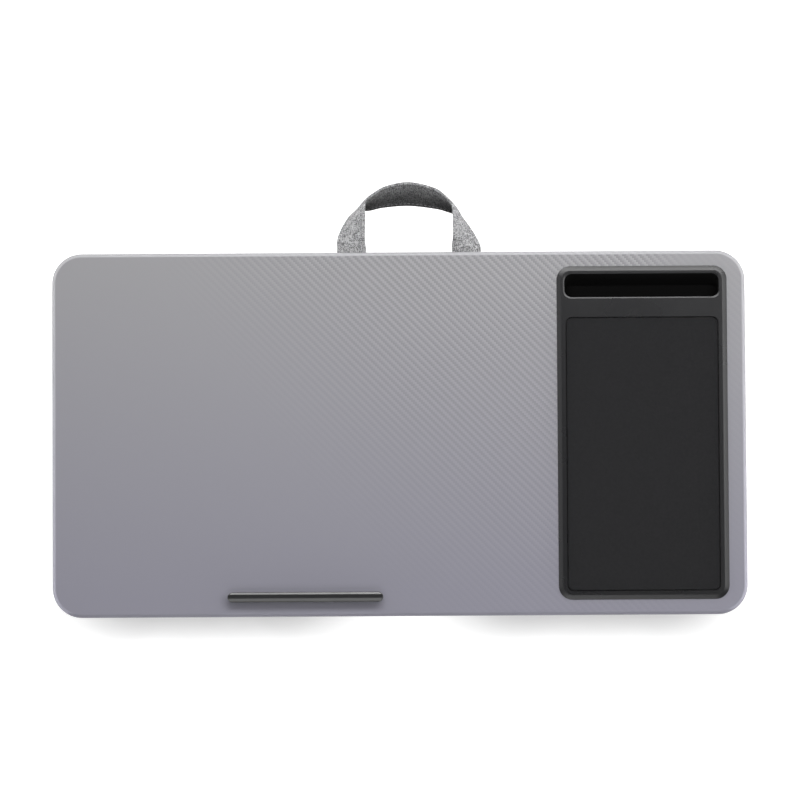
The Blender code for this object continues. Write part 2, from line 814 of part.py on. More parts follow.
strap_loop = strap_sections()
desk = bpy.data.objects.new("desk", None)
bpy.context.scene.collection.objects.link(desk)
furthest_back = max(corner.y for section in strap_loop for corner in section)
desk.matrix_world = Matrix.Translation((0, (half_depth - furthest_back) / 2, 0))

make_board_core()
make_board_film()
make_base_panel()
make_tray()
make_mouse_pad()
make_ledge()
make_panel_screws()
make_strap_ends()
make_handle_strap(strap_loop)
make_bolsters()
make_liner_and_channel()
make_welt()
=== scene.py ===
# Looks of the lap desk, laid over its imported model. All lengths are in metres, in the frame
# of that model: +X to the user's right, the user at -Y, and +Z up from the desk's underside.
import math

import bmesh
import bpy
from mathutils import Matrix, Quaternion, Vector
from mathutils.bvhtree import BVHTree


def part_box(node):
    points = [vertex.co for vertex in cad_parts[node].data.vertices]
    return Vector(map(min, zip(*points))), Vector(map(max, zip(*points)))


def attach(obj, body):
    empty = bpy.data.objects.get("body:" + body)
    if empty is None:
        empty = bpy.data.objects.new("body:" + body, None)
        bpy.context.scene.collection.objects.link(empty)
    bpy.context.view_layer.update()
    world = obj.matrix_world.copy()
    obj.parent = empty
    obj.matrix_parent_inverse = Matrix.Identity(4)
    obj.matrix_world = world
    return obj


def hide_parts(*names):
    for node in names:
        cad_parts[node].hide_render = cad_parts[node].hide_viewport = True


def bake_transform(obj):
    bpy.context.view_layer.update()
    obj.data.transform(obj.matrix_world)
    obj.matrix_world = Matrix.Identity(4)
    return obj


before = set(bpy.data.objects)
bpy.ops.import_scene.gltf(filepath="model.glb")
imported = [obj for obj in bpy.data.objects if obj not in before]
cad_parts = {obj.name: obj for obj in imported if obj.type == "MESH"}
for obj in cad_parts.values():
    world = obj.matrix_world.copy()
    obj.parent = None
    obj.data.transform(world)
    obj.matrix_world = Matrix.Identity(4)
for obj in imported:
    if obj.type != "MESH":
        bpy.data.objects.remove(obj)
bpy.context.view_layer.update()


# The camera. It stands almost straight above the desk, 3 m away with a long lens, a little
# towards the user, so that the front edge is a trace wider, and it is turned a third of a
# degree. The aim is the middle of the picture, on the board's top.
picture_width = 0.6719
camera_lens = 160
camera_sensor = 36
camera_sight = 20
camera_elevation = math.radians(87.5)
camera_turn = math.radians(-0.35)
camera_aim = Vector((0.0008, -0.0009, 0.066))
camera_back = Vector((0, -math.cos(camera_elevation), math.sin(camera_elevation)))
camera_data = bpy.data.cameras.new("camera_above")
camera_data.lens = camera_lens
camera_data.sensor_width = camera_sensor
camera_data.clip_end = camera_sight
camera = bpy.data.objects.new("camera_above", camera_data)
bpy.context.scene.collection.objects.link(camera)
camera.rotation_mode = "QUATERNION"
camera.location = camera_aim + camera_back * (picture_width * camera_lens / camera_sensor)
unturned = (-camera_back).to_track_quat("-Z", "Y")
camera.rotation_quaternion = unturned @ Quaternion((0, 0, 1), camera_turn)
bpy.context.scene.camera = camera
bpy.context.scene.view_settings.view_transform = "Standard"


# The studio floor: a wide sheet of white paper. The eye, and what mirrors it, sees the paper
# a little brighter than the lamps make it, so that it is plain white, but for a soft shade
# along the front of the desk.
def srgb(text):
    """A colour written as sRGB hex, as the linear values that a shader takes."""
    parts = [int(text[place : place + 2], 16) / 255 for place in (1, 3, 5)]
    linear = [p / 12.92 if p <= 0.04045 else ((p + 0.055) / 1.055) ** 2.4 for p in parts]
    return (*linear, 1.0)


def add(tree, kind, inputs=None, **settings):
    """Adds a node with its settings. An input takes a value, a socket or a node to link."""
    made = tree.nodes.new(kind)
    for name, value in settings.items():
        setattr(made, name, value)
    for name, value in (inputs or {}).items():
        if isinstance(value, bpy.types.Node):
            value = value.outputs[0]
        if isinstance(value, bpy.types.NodeSocket):
            tree.links.new(value, made.inputs[name])
        else:
            made.inputs[name].default_value = value
    return made


def calculate(tree, operation, *numbers):
    """A node that works out one number from others, in their order."""
    return add(tree, "ShaderNodeMath", dict(enumerate(numbers)), operation=operation)


def new_material(name, colour, roughness, metallic=0.0, ior=1.5):
    """A material, its tree and its shader, which starts with one plain colour."""
    material = bpy.data.materials.new(name)
    material.use_nodes = True
    shader = material.node_tree.nodes["Principled BSDF"]
    shader.inputs["Base Color"].default_value = srgb(colour)
    shader.inputs["Roughness"].default_value = roughness
    shader.inputs["Metallic"].default_value = metallic
    shader.inputs["IOR"].default_value = ior
    material.diffuse_color = srgb(colour)
    return material, material.node_tree, shader


def deselect():
    """Leaves edit mode and deselects every object."""
    if bpy.context.object and bpy.context.object.mode != "OBJECT":
        bpy.ops.object.mode_set(mode="OBJECT")
    bpy.ops.object.select_all(action="DESELECT")


paper_size = 18.0
paper_colour = "#C8C8C8"
shade_reach = 0.05
shade_side = (0.0, 0.92, 0.39)
shade_power = 1.3
deselect()
bpy.ops.mesh.primitive_plane_add(size=paper_size)
floor = bpy.context.object
floor.name = "studio_floor"
floor_paint, tree, shader = new_material("white_paper_floor", paper_colour, roughness=0.9)
shader.inputs["Specular IOR Level"].default_value = 0.0
path = add(tree, "ShaderNodeLightPath")
seen = calculate(tree, "MAXIMUM", path.outputs["Is Camera Ray"], path.outputs["Is Glossy Ray"])
seen = calculate(tree, "MAXIMUM", seen, path.outputs["Is Transmission Ray"])
towards_desk = add(tree, "ShaderNodeCombineXYZ", dict(enumerate(shade_side)))
open_sky = add(tree, "ShaderNodeAmbientOcclusion",
               {"Distance": shade_reach, "Normal": towards_desk}, samples=8)
open_sky = calculate(tree, "POWER", open_sky.outputs["AO"], shade_power)
shaded = calculate(tree, "SUBTRACT", 1.0, open_sky)
shaded = calculate(tree, "MULTIPLY", shaded, path.outputs["Is Camera Ray"])
unshaded = calculate(tree, "SUBTRACT", 1.0, shaded)
lift = calculate(tree, "MULTIPLY", seen, unshaded)
shader.inputs["Emission Color"].default_value = srgb("#FFFFFF")
tree.links.new(lift.outputs[0], shader.inputs["Emission Strength"])
floor.data.materials.append(floor_paint)


# The lamps: four white softboxes, a long one behind the desk, one over each end, of which
# the left is weak, and a wide one in front. The world stands for the room: pale walls, most
# light at the sides, under a dim ceiling. The eye itself sees plain white past the floor.
def add_softbox(name, place, aim, width, depth, power):
    """A lamp of this width and depth, turned towards its aim, with its power in watts."""
    data = bpy.data.lights.new(name, "AREA")
    data.shape = "RECTANGLE"
    data.size = width
    data.size_y = depth
    data.energy = power
    lamp = bpy.data.objects.new(name, data)
    bpy.context.scene.collection.objects.link(lamp)
    lamp.location = place
    lamp.rotation_mode = "QUATERNION"
    lamp.rotation_quaternion = (Vector(aim) - Vector(place)).to_track_quat("-Z", "Y")


def remap(tree, value, given, wanted=(0.0, 1.0), curve="LINEAR", **settings):
    """A node that carries a value from one range over to another, along a line or a curve."""
    ends = {"From Min": given[0], "From Max": given[1], "To Min": wanted[0], "To Max": wanted[1]}
    return add(tree, "ShaderNodeMapRange", {"Value": value, **ends},
               interpolation_type=curve, **settings)


# Each softbox has its place, its aim, its width, its depth and its power.
softboxes = {
    "softbox_behind": ((0.16, 0.68, 1.23), (0.0, 0.0, 0.06), 1.4, 0.38, 12.9),
    "softbox_right": ((1.10, 0.05, 1.78), (0.2, 0.0, 0.06), 0.8, 0.6, 6.0),
    "softbox_left": ((-0.70, 0.00, 1.78), (0.1, 0.0, 0.06), 0.8, 0.6, 1.9),
    "softbox_front": ((0.00, -1.06, 1.72), (0.0, -0.16, 0.06), 1.0, 0.72, 5.0),
}
for name, softbox in softboxes.items():
    add_softbox(name, *softbox)
light_behind = 2.50
light_beside = 8.60
light_in_front = 1.00
light_overhead = 0.08
front_wall_ends = (-0.85, -0.35)
back_wall_starts = (0.35, 0.85)
walls_end = (0.04, 0.30)
world = bpy.data.worlds.new("studio_room")
bpy.context.scene.world = world
world.use_nodes = True
room = world.node_tree
path = add(room, "ShaderNodeLightPath")
direction = add(room, "ShaderNodeTexCoord")
way = add(room, "ShaderNodeSeparateXYZ", {0: direction.outputs["Generated"]})
wall = remap(room, way.outputs["Y"], front_wall_ends, (light_in_front, light_beside), "SMOOTHSTEP")
back = remap(room, way.outputs["Y"], back_wall_starts, curve="SMOOTHSTEP")
wall = add(room, "ShaderNodeMix", {"Factor": back, "A": wall, "B": light_behind})
up = remap(room, way.outputs["Z"], walls_end, curve="SMOOTHSTEP")
light = add(room, "ShaderNodeMix", {"Factor": up, "A": wall, "B": light_overhead})
strength = add(room, "ShaderNodeMix", {"Factor": path.outputs["Is Camera Ray"],
                                       "A": light, "B": 1.0})
background = room.nodes["Background"]
background.inputs["Color"].default_value = srgb("#FFFFFF")
room.links.new(strength.outputs[0], background.inputs["Strength"])


# Core of the board: 9.5 mm fibreboard, sawn and routed. It is the CAD piece, hidden by the
# film but for a strip under the board, where the fine pressed fibre shows, matt and brown.
def ride_root(piece, slot, *nodes):
    """The piece rides on the desk's fixed body, in the place of these CAD nodes."""
    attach(piece, "root")
    if nodes:
        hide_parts(*nodes)


def dress(material, *nodes):
    """Gives CAD nodes this material in place of the one they came with."""
    for name in nodes:
        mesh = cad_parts[name].data
        mesh.materials.clear()
        mesh.materials.append(material)


def add_noise(tree, scale, detail):
    """Soft random spots that stay in their place on the piece, so many to a metre."""
    place = add(tree, "ShaderNodeTexCoord")
    return add(tree, "ShaderNodeTexNoise", {"Vector": place.outputs["Object"],
                                            "Scale": scale, "Detail": detail})


def mix_colours(tree, share, one, other):
    """The colour at this share of the way between two, each in hex or from a socket."""
    ends = [srgb(end) if isinstance(end, str) else end for end in (one, other)]
    mixed = add(tree, "ShaderNodeMix", {"Factor": share, "A": ends[0], "B": ends[1]},
                data_type="RGBA")
    return mixed.outputs["Result"]


def emboss(tree, shader, height, depth):
    """Raises the surface by this pattern of heights times the depth."""
    bump = add(tree, "ShaderNodeBump", {"Height": height, "Distance": depth})
    tree.links.new(bump.outputs[0], shader.inputs["Normal"])


def add_pressed_fibre(name, colour, dark, fibre):
    """Pressed wood fibre, matt: short fibres of this length, lighter and darker."""
    material, tree, shader = new_material(name, colour, roughness=0.85)
    grain = add_noise(tree, 1 / fibre, detail=4.0)
    tint = mix_colours(tree, grain, dark, colour)
    tree.links.new(tint, shader.inputs["Base Color"])
    emboss(tree, shader, grain, depth=0.0002)
    return material


fibreboard = add_pressed_fibre("fibreboard_sawn", "#B08D66", "#94734E", 0.0015)
dress(fibreboard, "board_core")


# Film over the board: a grey printed plastic film, wrapped round the rolled edges and
# folded 12 mm under the board. Its print is a fine twill weave, lightly embossed, so that
# its diagonals show most where the film mirrors the lamp behind the desk; there the print's
# contrast is raised too, as a painted sheen.
def add_block(name, low, high):
    """A box between two corners, from which a piece is shaped."""
    deselect()
    middle = [(a + b) / 2 for a, b in zip(low, high)]
    bpy.ops.mesh.primitive_cube_add(size=1, location=middle)
    block = bpy.context.object
    block.scale = [b - a for a, b in zip(low, high)]
    bpy.ops.object.transform_apply(location=True, rotation=True, scale=True)
    block.name = block.data.name = name
    return block


def select_only(piece):
    """Leaves edit mode, with this piece alone selected and active."""
    deselect()
    bpy.context.view_layer.objects.active = piece
    piece.select_set(True)


def pick(piece, kind, test):
    """Selects in edit mode the VERT, EDGE or FACE items of the piece that pass the test."""
    select_only(piece)
    bpy.ops.object.mode_set(mode="EDIT")
    bpy.ops.mesh.select_mode(type=kind)
    bpy.ops.mesh.select_all(action="DESELECT")
    shape = bmesh.from_edit_mesh(piece.data)
    for item in {"VERT": shape.verts, "EDGE": shape.edges, "FACE": shape.faces}[kind]:
        item.select_set(test(item))
    bmesh.update_edit_mesh(piece.data)


def is_upright(edge, tolerance=1e-5):
    """Whether the edge stands straight up."""
    one, other = (corner.co for corner in edge.verts)
    return abs(one.z - other.z) > tolerance and (one.xy - other.xy).length < tolerance


def is_at(height, tolerance=1e-5):
    """A test for what lies level at this height."""
    return lambda item: all(abs(corner.co.z - height) < tolerance for corner in item.verts)


def apply_step(piece, kind, **settings):
    """Adds a modifier to the piece and applies it."""
    select_only(piece)
    step = piece.modifiers.new(kind.lower(), kind)
    for name, value in settings.items():
        setattr(step, name, value)
    bpy.ops.object.modifier_apply(modifier=step.name)


def combine(piece, tool, operation):
    """Cuts the tool out of the piece, or joins it on, and removes the tool."""
    apply_step(piece, "BOOLEAN", object=tool, operation=operation, solver="EXACT")
    bpy.data.objects.remove(tool, do_unlink=True)


def smooth(piece, degrees=35):
    """Smooth shading that keeps flat faces flat and sharp edges sharp."""
    select_only(piece)
    bpy.ops.object.shade_smooth_by_angle(angle=math.radians(degrees))
    apply_step(piece, "WEIGHTED_NORMAL", keep_sharp=True, weight=50)


def add_rounded_block(name, low, high, corner, steps=12):
    """A box whose four upright edges are rounded."""
    block = add_block(name, low, high)
    pick(block, "EDGE", is_upright)
    bpy.ops.mesh.bevel(offset=corner, segments=steps, affect="EDGES")
    return block


wrap_low, wrap_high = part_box("board_film")
wrap_corner = 0.025
wrap_roll = 0.0035
wrap_skin = 0.0005
wrap_lap = 0.012
wrap_centre = (wrap_low + wrap_high) / 2
wrap_half = (wrap_high - wrap_low) / 2
wrap = add_rounded_block("board_wrap", wrap_low, wrap_high, wrap_corner, steps=20)
for height in (wrap_low.z, wrap_high.z):
    pick(wrap, "EDGE", is_at(height))
    bpy.ops.mesh.bevel(offset=wrap_roll, segments=8, affect="EDGES")
pick(wrap, "FACE", is_at(wrap_low.z))
bpy.ops.mesh.inset(thickness=wrap_lap - wrap_roll)
bpy.ops.mesh.delete(type="FACE")
apply_step(wrap, "SOLIDIFY", thickness=wrap_skin, offset=-1, use_even_offset=True)

# Openings in the film for the tray's skirt and the ledge's three pegs.
tray_low, tray_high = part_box("phone_mouse_tray")
tray_flange = 0.0055
skirt_corner = 0.0066
skirt_low = Vector((tray_low.x + tray_flange, tray_low.y + tray_flange, 0))
skirt_high = Vector((tray_high.x - tray_flange, tray_high.y - tray_flange, 0))
fit_gap = 0.0003
cutter_reach = 0.004
window = add_rounded_block(
    "window",
    (skirt_low.x - fit_gap, skirt_low.y - fit_gap, wrap_high.z - cutter_reach),
    (skirt_high.x + fit_gap, skirt_high.y + fit_gap, wrap_high.z + cutter_reach),
    skirt_corner,
)
combine(wrap, window, "DIFFERENCE")
ledge_low, ledge_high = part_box("device_ledge")
ledge_centre = (ledge_low + ledge_high) / 2
peg_spacing = 0.050
peg_radius = 0.0025
peg_sides = 24
for step in (-1, 0, 1):
    deselect()
    bpy.ops.mesh.primitive_cylinder_add(
        vertices=peg_sides, radius=peg_radius + fit_gap, depth=2 * cutter_reach,
        location=(ledge_centre.x + step * peg_spacing, ledge_centre.y, wrap_high.z),
    )
    combine(wrap, bpy.context.object, "DIFFERENCE")


# The print follows the film over the rolled edges: each point's place on the flat film,
# unrolled from the top, is its place in the UV map, in metres.
def unrolled(point):
    """The place on the flat film of a point on the wrapped one."""
    across = point - wrap_centre
    side = Vector((math.copysign(1, across.x), math.copysign(1, across.y)))
    corner = Vector((abs(across.x) - wrap_half.x + wrap_corner,
                     abs(across.y) - wrap_half.y + wrap_corner))
    if corner.x > 0 and corner.y > 0:
        outward = Vector((corner.x * side.x, corner.y * side.y)).normalized()
        inset = wrap_corner - corner.length
    elif corner.x > corner.y:
        outward = Vector((side.x, 0))
        inset = wrap_corner - corner.x
    else:
        outward = Vector((0, side.y))
        inset = wrap_corner - corner.y
    fall = wrap_high.z - point.z
    height = wrap_high.z - wrap_low.z
    quarter = math.pi / 2 * wrap_roll
    round_edge = 2 * quarter + height - 2 * wrap_roll
    if inset >= wrap_roll and fall < height / 2:
        return across.xy
    if inset >= wrap_roll:
        run = round_edge + inset - wrap_roll
    elif fall < wrap_roll:
        run = wrap_roll * math.acos(max(-1.0, 1 - fall / wrap_roll))
    elif fall < height - wrap_roll:
        run = quarter + fall - wrap_roll
    else:
        rise = max(0.0, height - fall)
        run = round_edge - wrap_roll * math.acos(max(-1.0, 1 - rise / wrap_roll))
    return across.xy + outward * (inset - wrap_roll + run)


def write_flat_places(mesh, places):
    """Keeps each vertex's place on the flat film or cloth in the mesh's UV map."""
    layer = mesh.uv_layers[0] if mesh.uv_layers else mesh.uv_layers.new(name="flat_place")
    layer.name = "flat_place"
    for corner in mesh.loops:
        layer.data[corner.index].uv = places[corner.vertex_index]


write_flat_places(wrap.data, [unrolled(vertex.co) for vertex in wrap.data.vertices])
smooth(wrap)


# Threads 1.667 mm apart, over two and under two, which gives diagonals 4.7 mm apart. A
# thread lies in a low arch along its crossing and is rounded across.
def scale_up(tree, vector, factor):
    """The vector or colour times one factor."""
    return add(tree, "ShaderNodeVectorMath", {0: vector, "Scale": factor}, operation="SCALE")


thread_pitch = 0.001667
thread_roundness = 1.2
film, tree, shader = new_material("printed_film_satin", "#9A999E", roughness=0.42)
uv = add(tree, "ShaderNodeUVMap", uv_map="flat_place")
split = add(tree, "ShaderNodeSeparateXYZ", {0: scale_up(tree, uv, 1 / thread_pitch)})
column = calculate(tree, "FLOOR", split.outputs["X"])
row = calculate(tree, "FLOOR", split.outputs["Y"])
in_column = calculate(tree, "FRACT", split.outputs["X"])
in_row = calculate(tree, "FRACT", split.outputs["Y"])
diagonal = calculate(tree, "ADD", column, row)
phase = calculate(tree, "FLOORED_MODULO", diagonal, 4.0)
warp_up = calculate(tree, "LESS_THAN", phase, 1.5)
along_warp = calculate(tree, "ADD", phase, in_row)
along_weft = calculate(tree, "ADD", phase, in_column)
along_weft = calculate(tree, "SUBTRACT", along_weft, 2.0)
heights = []
for along, beside in ((along_warp, in_column), (along_weft, in_row)):
    from_crown = calculate(tree, "SUBTRACT", along, 1.0)
    fall = calculate(tree, "MULTIPLY", from_crown, from_crown)
    crown = calculate(tree, "SUBTRACT", 1.0, fall)
    off = calculate(tree, "SUBTRACT", beside, 0.5)
    round_fall = calculate(tree, "MULTIPLY", off, off)
    heights.append(calculate(tree, "MULTIPLY_ADD", round_fall, -thread_roundness, crown))
weave = add(tree, "ShaderNodeMix", {"Factor": warp_up, "A": heights[1], "B": heights[0]})

# How much of the relief shows, and of the painted sheen in the print's contrast: most
# towards the back right, where the lamp behind mirrors, and less towards the left, the
# front and the far right end.
relief_and_sheen_grow_right = (-0.167, 0.001)
relief_and_sheen_fall_forward = (0.112, -0.165)
relief_and_sheen_spread = (-0.3, 1.0)
relief_and_sheen_most = 0.80
front_loss = 0.77
right_end_x = (0.195, 0.250)
right_end_relief_and_sheen = 0.15
place = add(tree, "ShaderNodeTexCoord")
spot = add(tree, "ShaderNodeSeparateXYZ", {0: place.outputs["Object"]})
to_right = remap(tree, spot.outputs["X"], relief_and_sheen_grow_right, clamp=False)
to_front = remap(tree, spot.outputs["Y"], relief_and_sheen_fall_forward, clamp=False)
near = calculate(tree, "SUBTRACT", to_right, to_front)
near = remap(tree, near, relief_and_sheen_spread, (0.0, relief_and_sheen_most), "SMOOTHSTEP")
fade = calculate(tree, "MULTIPLY_ADD", to_front, -front_loss, 1.0)
relief_and_painted_sheen = calculate(tree, "MULTIPLY", near, fade)
right_end = remap(tree, spot.outputs["X"], right_end_x, (1.0, right_end_relief_and_sheen), "SMOOTHSTEP")
relief_and_painted_sheen = calculate(tree, "MULTIPLY", relief_and_painted_sheen, right_end)

# Over the rolled shoulder the film is stretched, which makes its relief slack. There the print
# is painted paler, a painted highlight of the lamps, but not along the front edge.
shoulder_z = (wrap_high.z - 0.00001, wrap_high.z - 0.00012)
below_shoulder_z = (wrap_high.z - 0.0008, wrap_high.z - 0.0015)
below_shoulder_left = 0.25
front_edge_y = (wrap_low.y + 0.0050, wrap_low.y + 0.0030)
slack_loss = 0.7
painted_highlight_gain = 0.50
on_shoulder = remap(tree, spot.outputs["Z"], shoulder_z)
under_shoulder = remap(tree, spot.outputs["Z"], below_shoulder_z, (1.0, below_shoulder_left))
shoulder_painted_highlight = calculate(tree, "MULTIPLY", on_shoulder, under_shoulder)
front_edge = remap(tree, spot.outputs["Y"], front_edge_y, (1.0, 0.0))
shoulder_painted_highlight = calculate(tree, "MULTIPLY", shoulder_painted_highlight, front_edge)
slack = calculate(tree, "MULTIPLY_ADD", on_shoulder, -slack_loss, 1.0)
relief_and_painted_sheen = calculate(tree, "MULTIPLY", relief_and_painted_sheen, slack)
painted_highlight_factor = calculate(tree, "MULTIPLY_ADD", shoulder_painted_highlight, painted_highlight_gain, 1.0)

# The inks: a light and a dark thread, which come together in one grey where no relief
# shows. A painted violet cast of the light grows over the grey towards the front.
plain_ink = "#9B9B9B"
# Painted sheen: the threads' contrast follows the relief mask.
light_thread = mix_colours(tree, relief_and_painted_sheen, plain_ink, "#A5A5A5")
dark_thread = mix_colours(tree, relief_and_painted_sheen, plain_ink, "#8F8F8F")
ink = mix_colours(tree, warp_up, dark_thread, light_thread)
towards_front = add(tree, "ShaderNodeClamp", {"Value": to_front})
painted_light_cast = mix_colours(tree, towards_front, "#FBFAFF", "#EBE9FC")
tinted = add(tree, "ShaderNodeVectorMath", {0: ink, 1: painted_light_cast}, operation="MULTIPLY")
shown = scale_up(tree, tinted, painted_highlight_factor)
tree.links.new(shown.outputs[0], shader.inputs["Base Color"])
emboss(tree, shader, calculate(tree, "MULTIPLY", weave, relief_and_painted_sheen), depth=0.00016)
wrap.data.materials.append(film)
ride_root(wrap, "print_film", "board_film")


# Tray: injection-moulded black plastic, dropped into the board and screwed from below. A
# flange with a low rolled bead covers the cut in the board. The mouse pad lies in its
# recess, and the phone stands in the slot behind it, whose back wall leans.
tray_top = tray_high.z
tray_x = (tray_low.x + tray_high.x) / 2
tray_corner = 0.0115
flange_z = wrap_high.z + fit_gap
bead_run = 0.0042
bead_lip = 0.0002
bead_steps = 8
bead_curve = 1.2
bead_rise = tray_top - flange_z - bead_lip
skirt_bottom = 0.0557
tray = add_rounded_block(
    "tray_shell",
    (tray_low.x, tray_low.y, flange_z),
    (tray_high.x, tray_high.y, flange_z + bead_lip),
    tray_corner, steps=14,
)
pick(tray, "FACE", is_at(flange_z + bead_lip))
for step in range(bead_steps):
    left_before, left_after = 1 - step / bead_steps, 1 - (step + 1) / bead_steps
    bpy.ops.mesh.inset(
        thickness=bead_run / bead_steps,
        depth=bead_rise * (left_before**bead_curve - left_after**bead_curve),
    )
pick(tray, "FACE", is_at(flange_z))
bpy.ops.mesh.inset(thickness=tray_flange)
bpy.ops.mesh.extrude_region_move(
    TRANSFORM_OT_translate={"value": (0, 0, skirt_bottom - flange_z)}
)

# The pocket under the slot, which passes through the panel below. The slot is wider at its
# mouth than at its floor, mostly because its back wall leans.
rim_behind_slot = 0.0065
slot_mouth_depth = 0.0195
slot_floor_depth = 0.0105
front_wall_lean = 0.0005
side_wall_lean = 0.001
slot_back = tray_high.y - rim_behind_slot
slot_front = slot_back - slot_mouth_depth
slot_half = 0.0649
slot_floor = 0.0535
floor_front = slot_front + front_wall_lean
floor_back = floor_front + slot_floor_depth
floor_half = slot_half - side_wall_lean
pocket_wall = 0.0018
pocket_corner = 0.0055
pocket_top = 0.0600
pocket = add_rounded_block(
    "pocket",
    (tray_x - floor_half - pocket_wall, floor_front - pocket_wall, tray_low.z),
    (tray_x + floor_half + pocket_wall, floor_back + pocket_wall, pocket_top),
    pocket_corner,
)
combine(tray, pocket, "UNION")

# The recess for the pad.
pad_low, pad_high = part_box("mouse_pad")
pad_groove = 0.0008
recess_corner = 0.0056
recess = add_rounded_block(
    "recess",
    (pad_low.x - pad_groove, pad_low.y - pad_groove, pad_low.z - fit_gap),
    (pad_high.x + pad_groove, pad_high.y + pad_groove, tray_top + cutter_reach),
    recess_corner,
)
combine(tray, recess, "DIFFERENCE")

# The slot is cut by a plug that narrows downwards. Its mouth has a shallow chamfer, which
# catches the lamps as a bright line, and a small round inside that. A ring of the plug is
# its height, its half width, and its front and back.
lip_chamfer = 0.0008
lip_drop = 0.0002
lip_round = 0.0004
lip_reach = lip_chamfer + lip_round
slot_steps = 6
slot_corner = 0.0056
floor_round = 0.0009
plug = add_rounded_block(
    "plug",
    (tray_x - slot_half - lip_reach, slot_front - lip_reach, tray_top),
    (tray_x + slot_half + lip_reach, slot_back + lip_reach, tray_top + cutter_reach),
    slot_corner + lip_reach,
)
plug_rings = []
for step in range(slot_steps + 1):
    turn = math.pi / 2 * step / slot_steps
    grow = lip_round * (1 - math.sin(turn))
    plug_rings.append((
        tray_top - lip_drop - lip_round * (1 - math.cos(turn)),
        slot_half + grow, slot_front - grow, slot_back + grow,
    ))
for step in range(slot_steps + 1):
    turn = math.pi / 2 * step / slot_steps
    shrink = floor_round * (1 - math.cos(turn))
    plug_rings.append((
        slot_floor + floor_round * (1 - math.sin(turn)),
        floor_half - shrink, floor_front + shrink, floor_back - shrink,
    ))
pick(plug, "FACE", is_at(tray_top))
last_height, last_half = tray_top, slot_half + lip_reach
last_front, last_back = slot_front - lip_reach, slot_back + lip_reach
for height, half, front, back in plug_rings:
    middle = (front + back) / 2
    bpy.ops.mesh.extrude_region_move(TRANSFORM_OT_translate={
        "value": (0, middle - (last_front + last_back) / 2, height - last_height)
    })
    bpy.ops.transform.resize(
        value=(half / last_half, (back - front) / (last_back - last_front), 1),
        center_override=(tray_x, middle, height),
    )
    last_height, last_half, last_front, last_back = height, half, front, back
combine(tray, plug, "DIFFERENCE")
smooth(tray)

# The plastic is black ABS from a spark-eroded mould: a grain of about 0.5 mm that breaks
# up the gloss, and soft broad patches where the melt cooled unevenly.
plastic_grain = 0.0005
patches_per_metre = 22.0
plastic, tree, shader = new_material("black_ABS_moulded", "#1D1D1F", roughness=0.30)
grain = add_noise(tree, 1 / plastic_grain, detail=2.0)
patches = add_noise(tree, patches_per_metre, detail=2.0)
gloss = remap(tree, patches, (0.0, 1.0), (0.25, 0.31))
tree.links.new(gloss.outputs[0], shader.inputs["Roughness"])
emboss(tree, shader, grain, depth=0.00003)
tray.data.materials.append(plastic)

# Inside the slot the plastic is painted nearly black, as painted shade of the deep slot,
# and it is dull, with a coarser grain.
coarse_grain = 0.0009
slot_shade_top = tray_top - lip_drop - 0.8 * lip_round
slot_painted_shade, tree, shader = new_material("black_ABS_slot_painted_shade", "#060606", roughness=0.95)
shader.inputs["Specular IOR Level"].default_value = 0.12
grain = add_noise(tree, 1 / coarse_grain, detail=3.0)
tint = mix_colours(tree, grain, "#040404", "#0A0A0A")
tree.links.new(tint, shader.inputs["Base Color"])
emboss(tree, shader, grain, depth=0.0001)
tray.data.materials.append(slot_painted_shade)


def is_in_slot(place, room=0.0002):
    """Whether a place on the tray is on the slot's walls or floor, below its mouth."""
    return (
        slot_floor - room < place.z < slot_shade_top
        and abs(place.x - tray_x) < slot_half + room
        and slot_front - room < place.y < slot_back + room
    )


# The slot's walls and floor take the painted-shade material.
for face in tray.data.polygons:
    face.material_index = 1 if is_in_slot(face.center) else 0
ride_root(tray, "moulded_plastic", "phone_mouse_tray")


# Mouse pad: a black knitted polyester face on foam rubber, 2 mm thick together, die-cut
# with rounded corners and glued into the recess with a narrow dark groove around it.
def add_cells(tree, size, randomness=1.0):
    """Small cells of about this size, as the distance of a place from its cell's middle."""
    place = add(tree, "ShaderNodeTexCoord")
    cells = add(tree, "ShaderNodeTexVoronoi", {"Vector": place.outputs["Object"],
                                               "Scale": 1 / size, "Randomness": randomness})
    return cells.outputs["Distance"]


pad_corner = 0.0048
pad_face_thickness = 0.0006
pad_face_round = 0.0004
pad_foam = add_rounded_block(
    "pad_foam", pad_low, (pad_high.x, pad_high.y, pad_high.z - pad_face_thickness), pad_corner
)
smooth(pad_foam)
pad_face = add_rounded_block(
    "pad_face", (pad_low.x, pad_low.y, pad_high.z - pad_face_thickness), pad_high, pad_corner
)
pick(pad_face, "EDGE", is_at(pad_high.z))
bpy.ops.mesh.bevel(offset=pad_face_round, segments=4, affect="EDGES")
smooth(pad_face)
foam_cell = 0.0006
foam, tree, shader = new_material("foam_rubber_black", "#1C1C1C", roughness=0.9)
emboss(tree, shader, add_cells(tree, foam_cell), depth=0.0001)
pad_foam.data.materials.append(foam)

# Knit: loops 0.7 mm apart. Fine fibres catch a little light at a low angle.
knit_pitch = 0.0007
mottle_per_metre = 400.0
knit, tree, shader = new_material("polyester_knit_black", "#1D1D1F", roughness=0.85)
shader.inputs["Specular IOR Level"].default_value = 0.3
shader.inputs["Sheen Weight"].default_value = 0.05
shader.inputs["Sheen Roughness"].default_value = 0.5
place = add(tree, "ShaderNodeTexCoord")
turns = scale_up(tree, place.outputs["Object"], math.tau / knit_pitch)
split = add(tree, "ShaderNodeSeparateXYZ", {0: turns})
wave_x = calculate(tree, "SINE", split.outputs["X"])
wave_y = calculate(tree, "SINE", split.outputs["Y"])
loops = calculate(tree, "MULTIPLY", wave_x, wave_y)
mottle = add_noise(tree, mottle_per_metre, detail=3.0)
tint = mix_colours(tree, mottle, "#18181A", "#212123")
tree.links.new(tint, shader.inputs["Base Color"])
emboss(tree, shader, loops, depth=0.00006)
pad_face.data.materials.append(knit)
ride_root(pad_foam, "pad_cloth", "mouse_pad")
ride_root(pad_face, "pad_cloth")


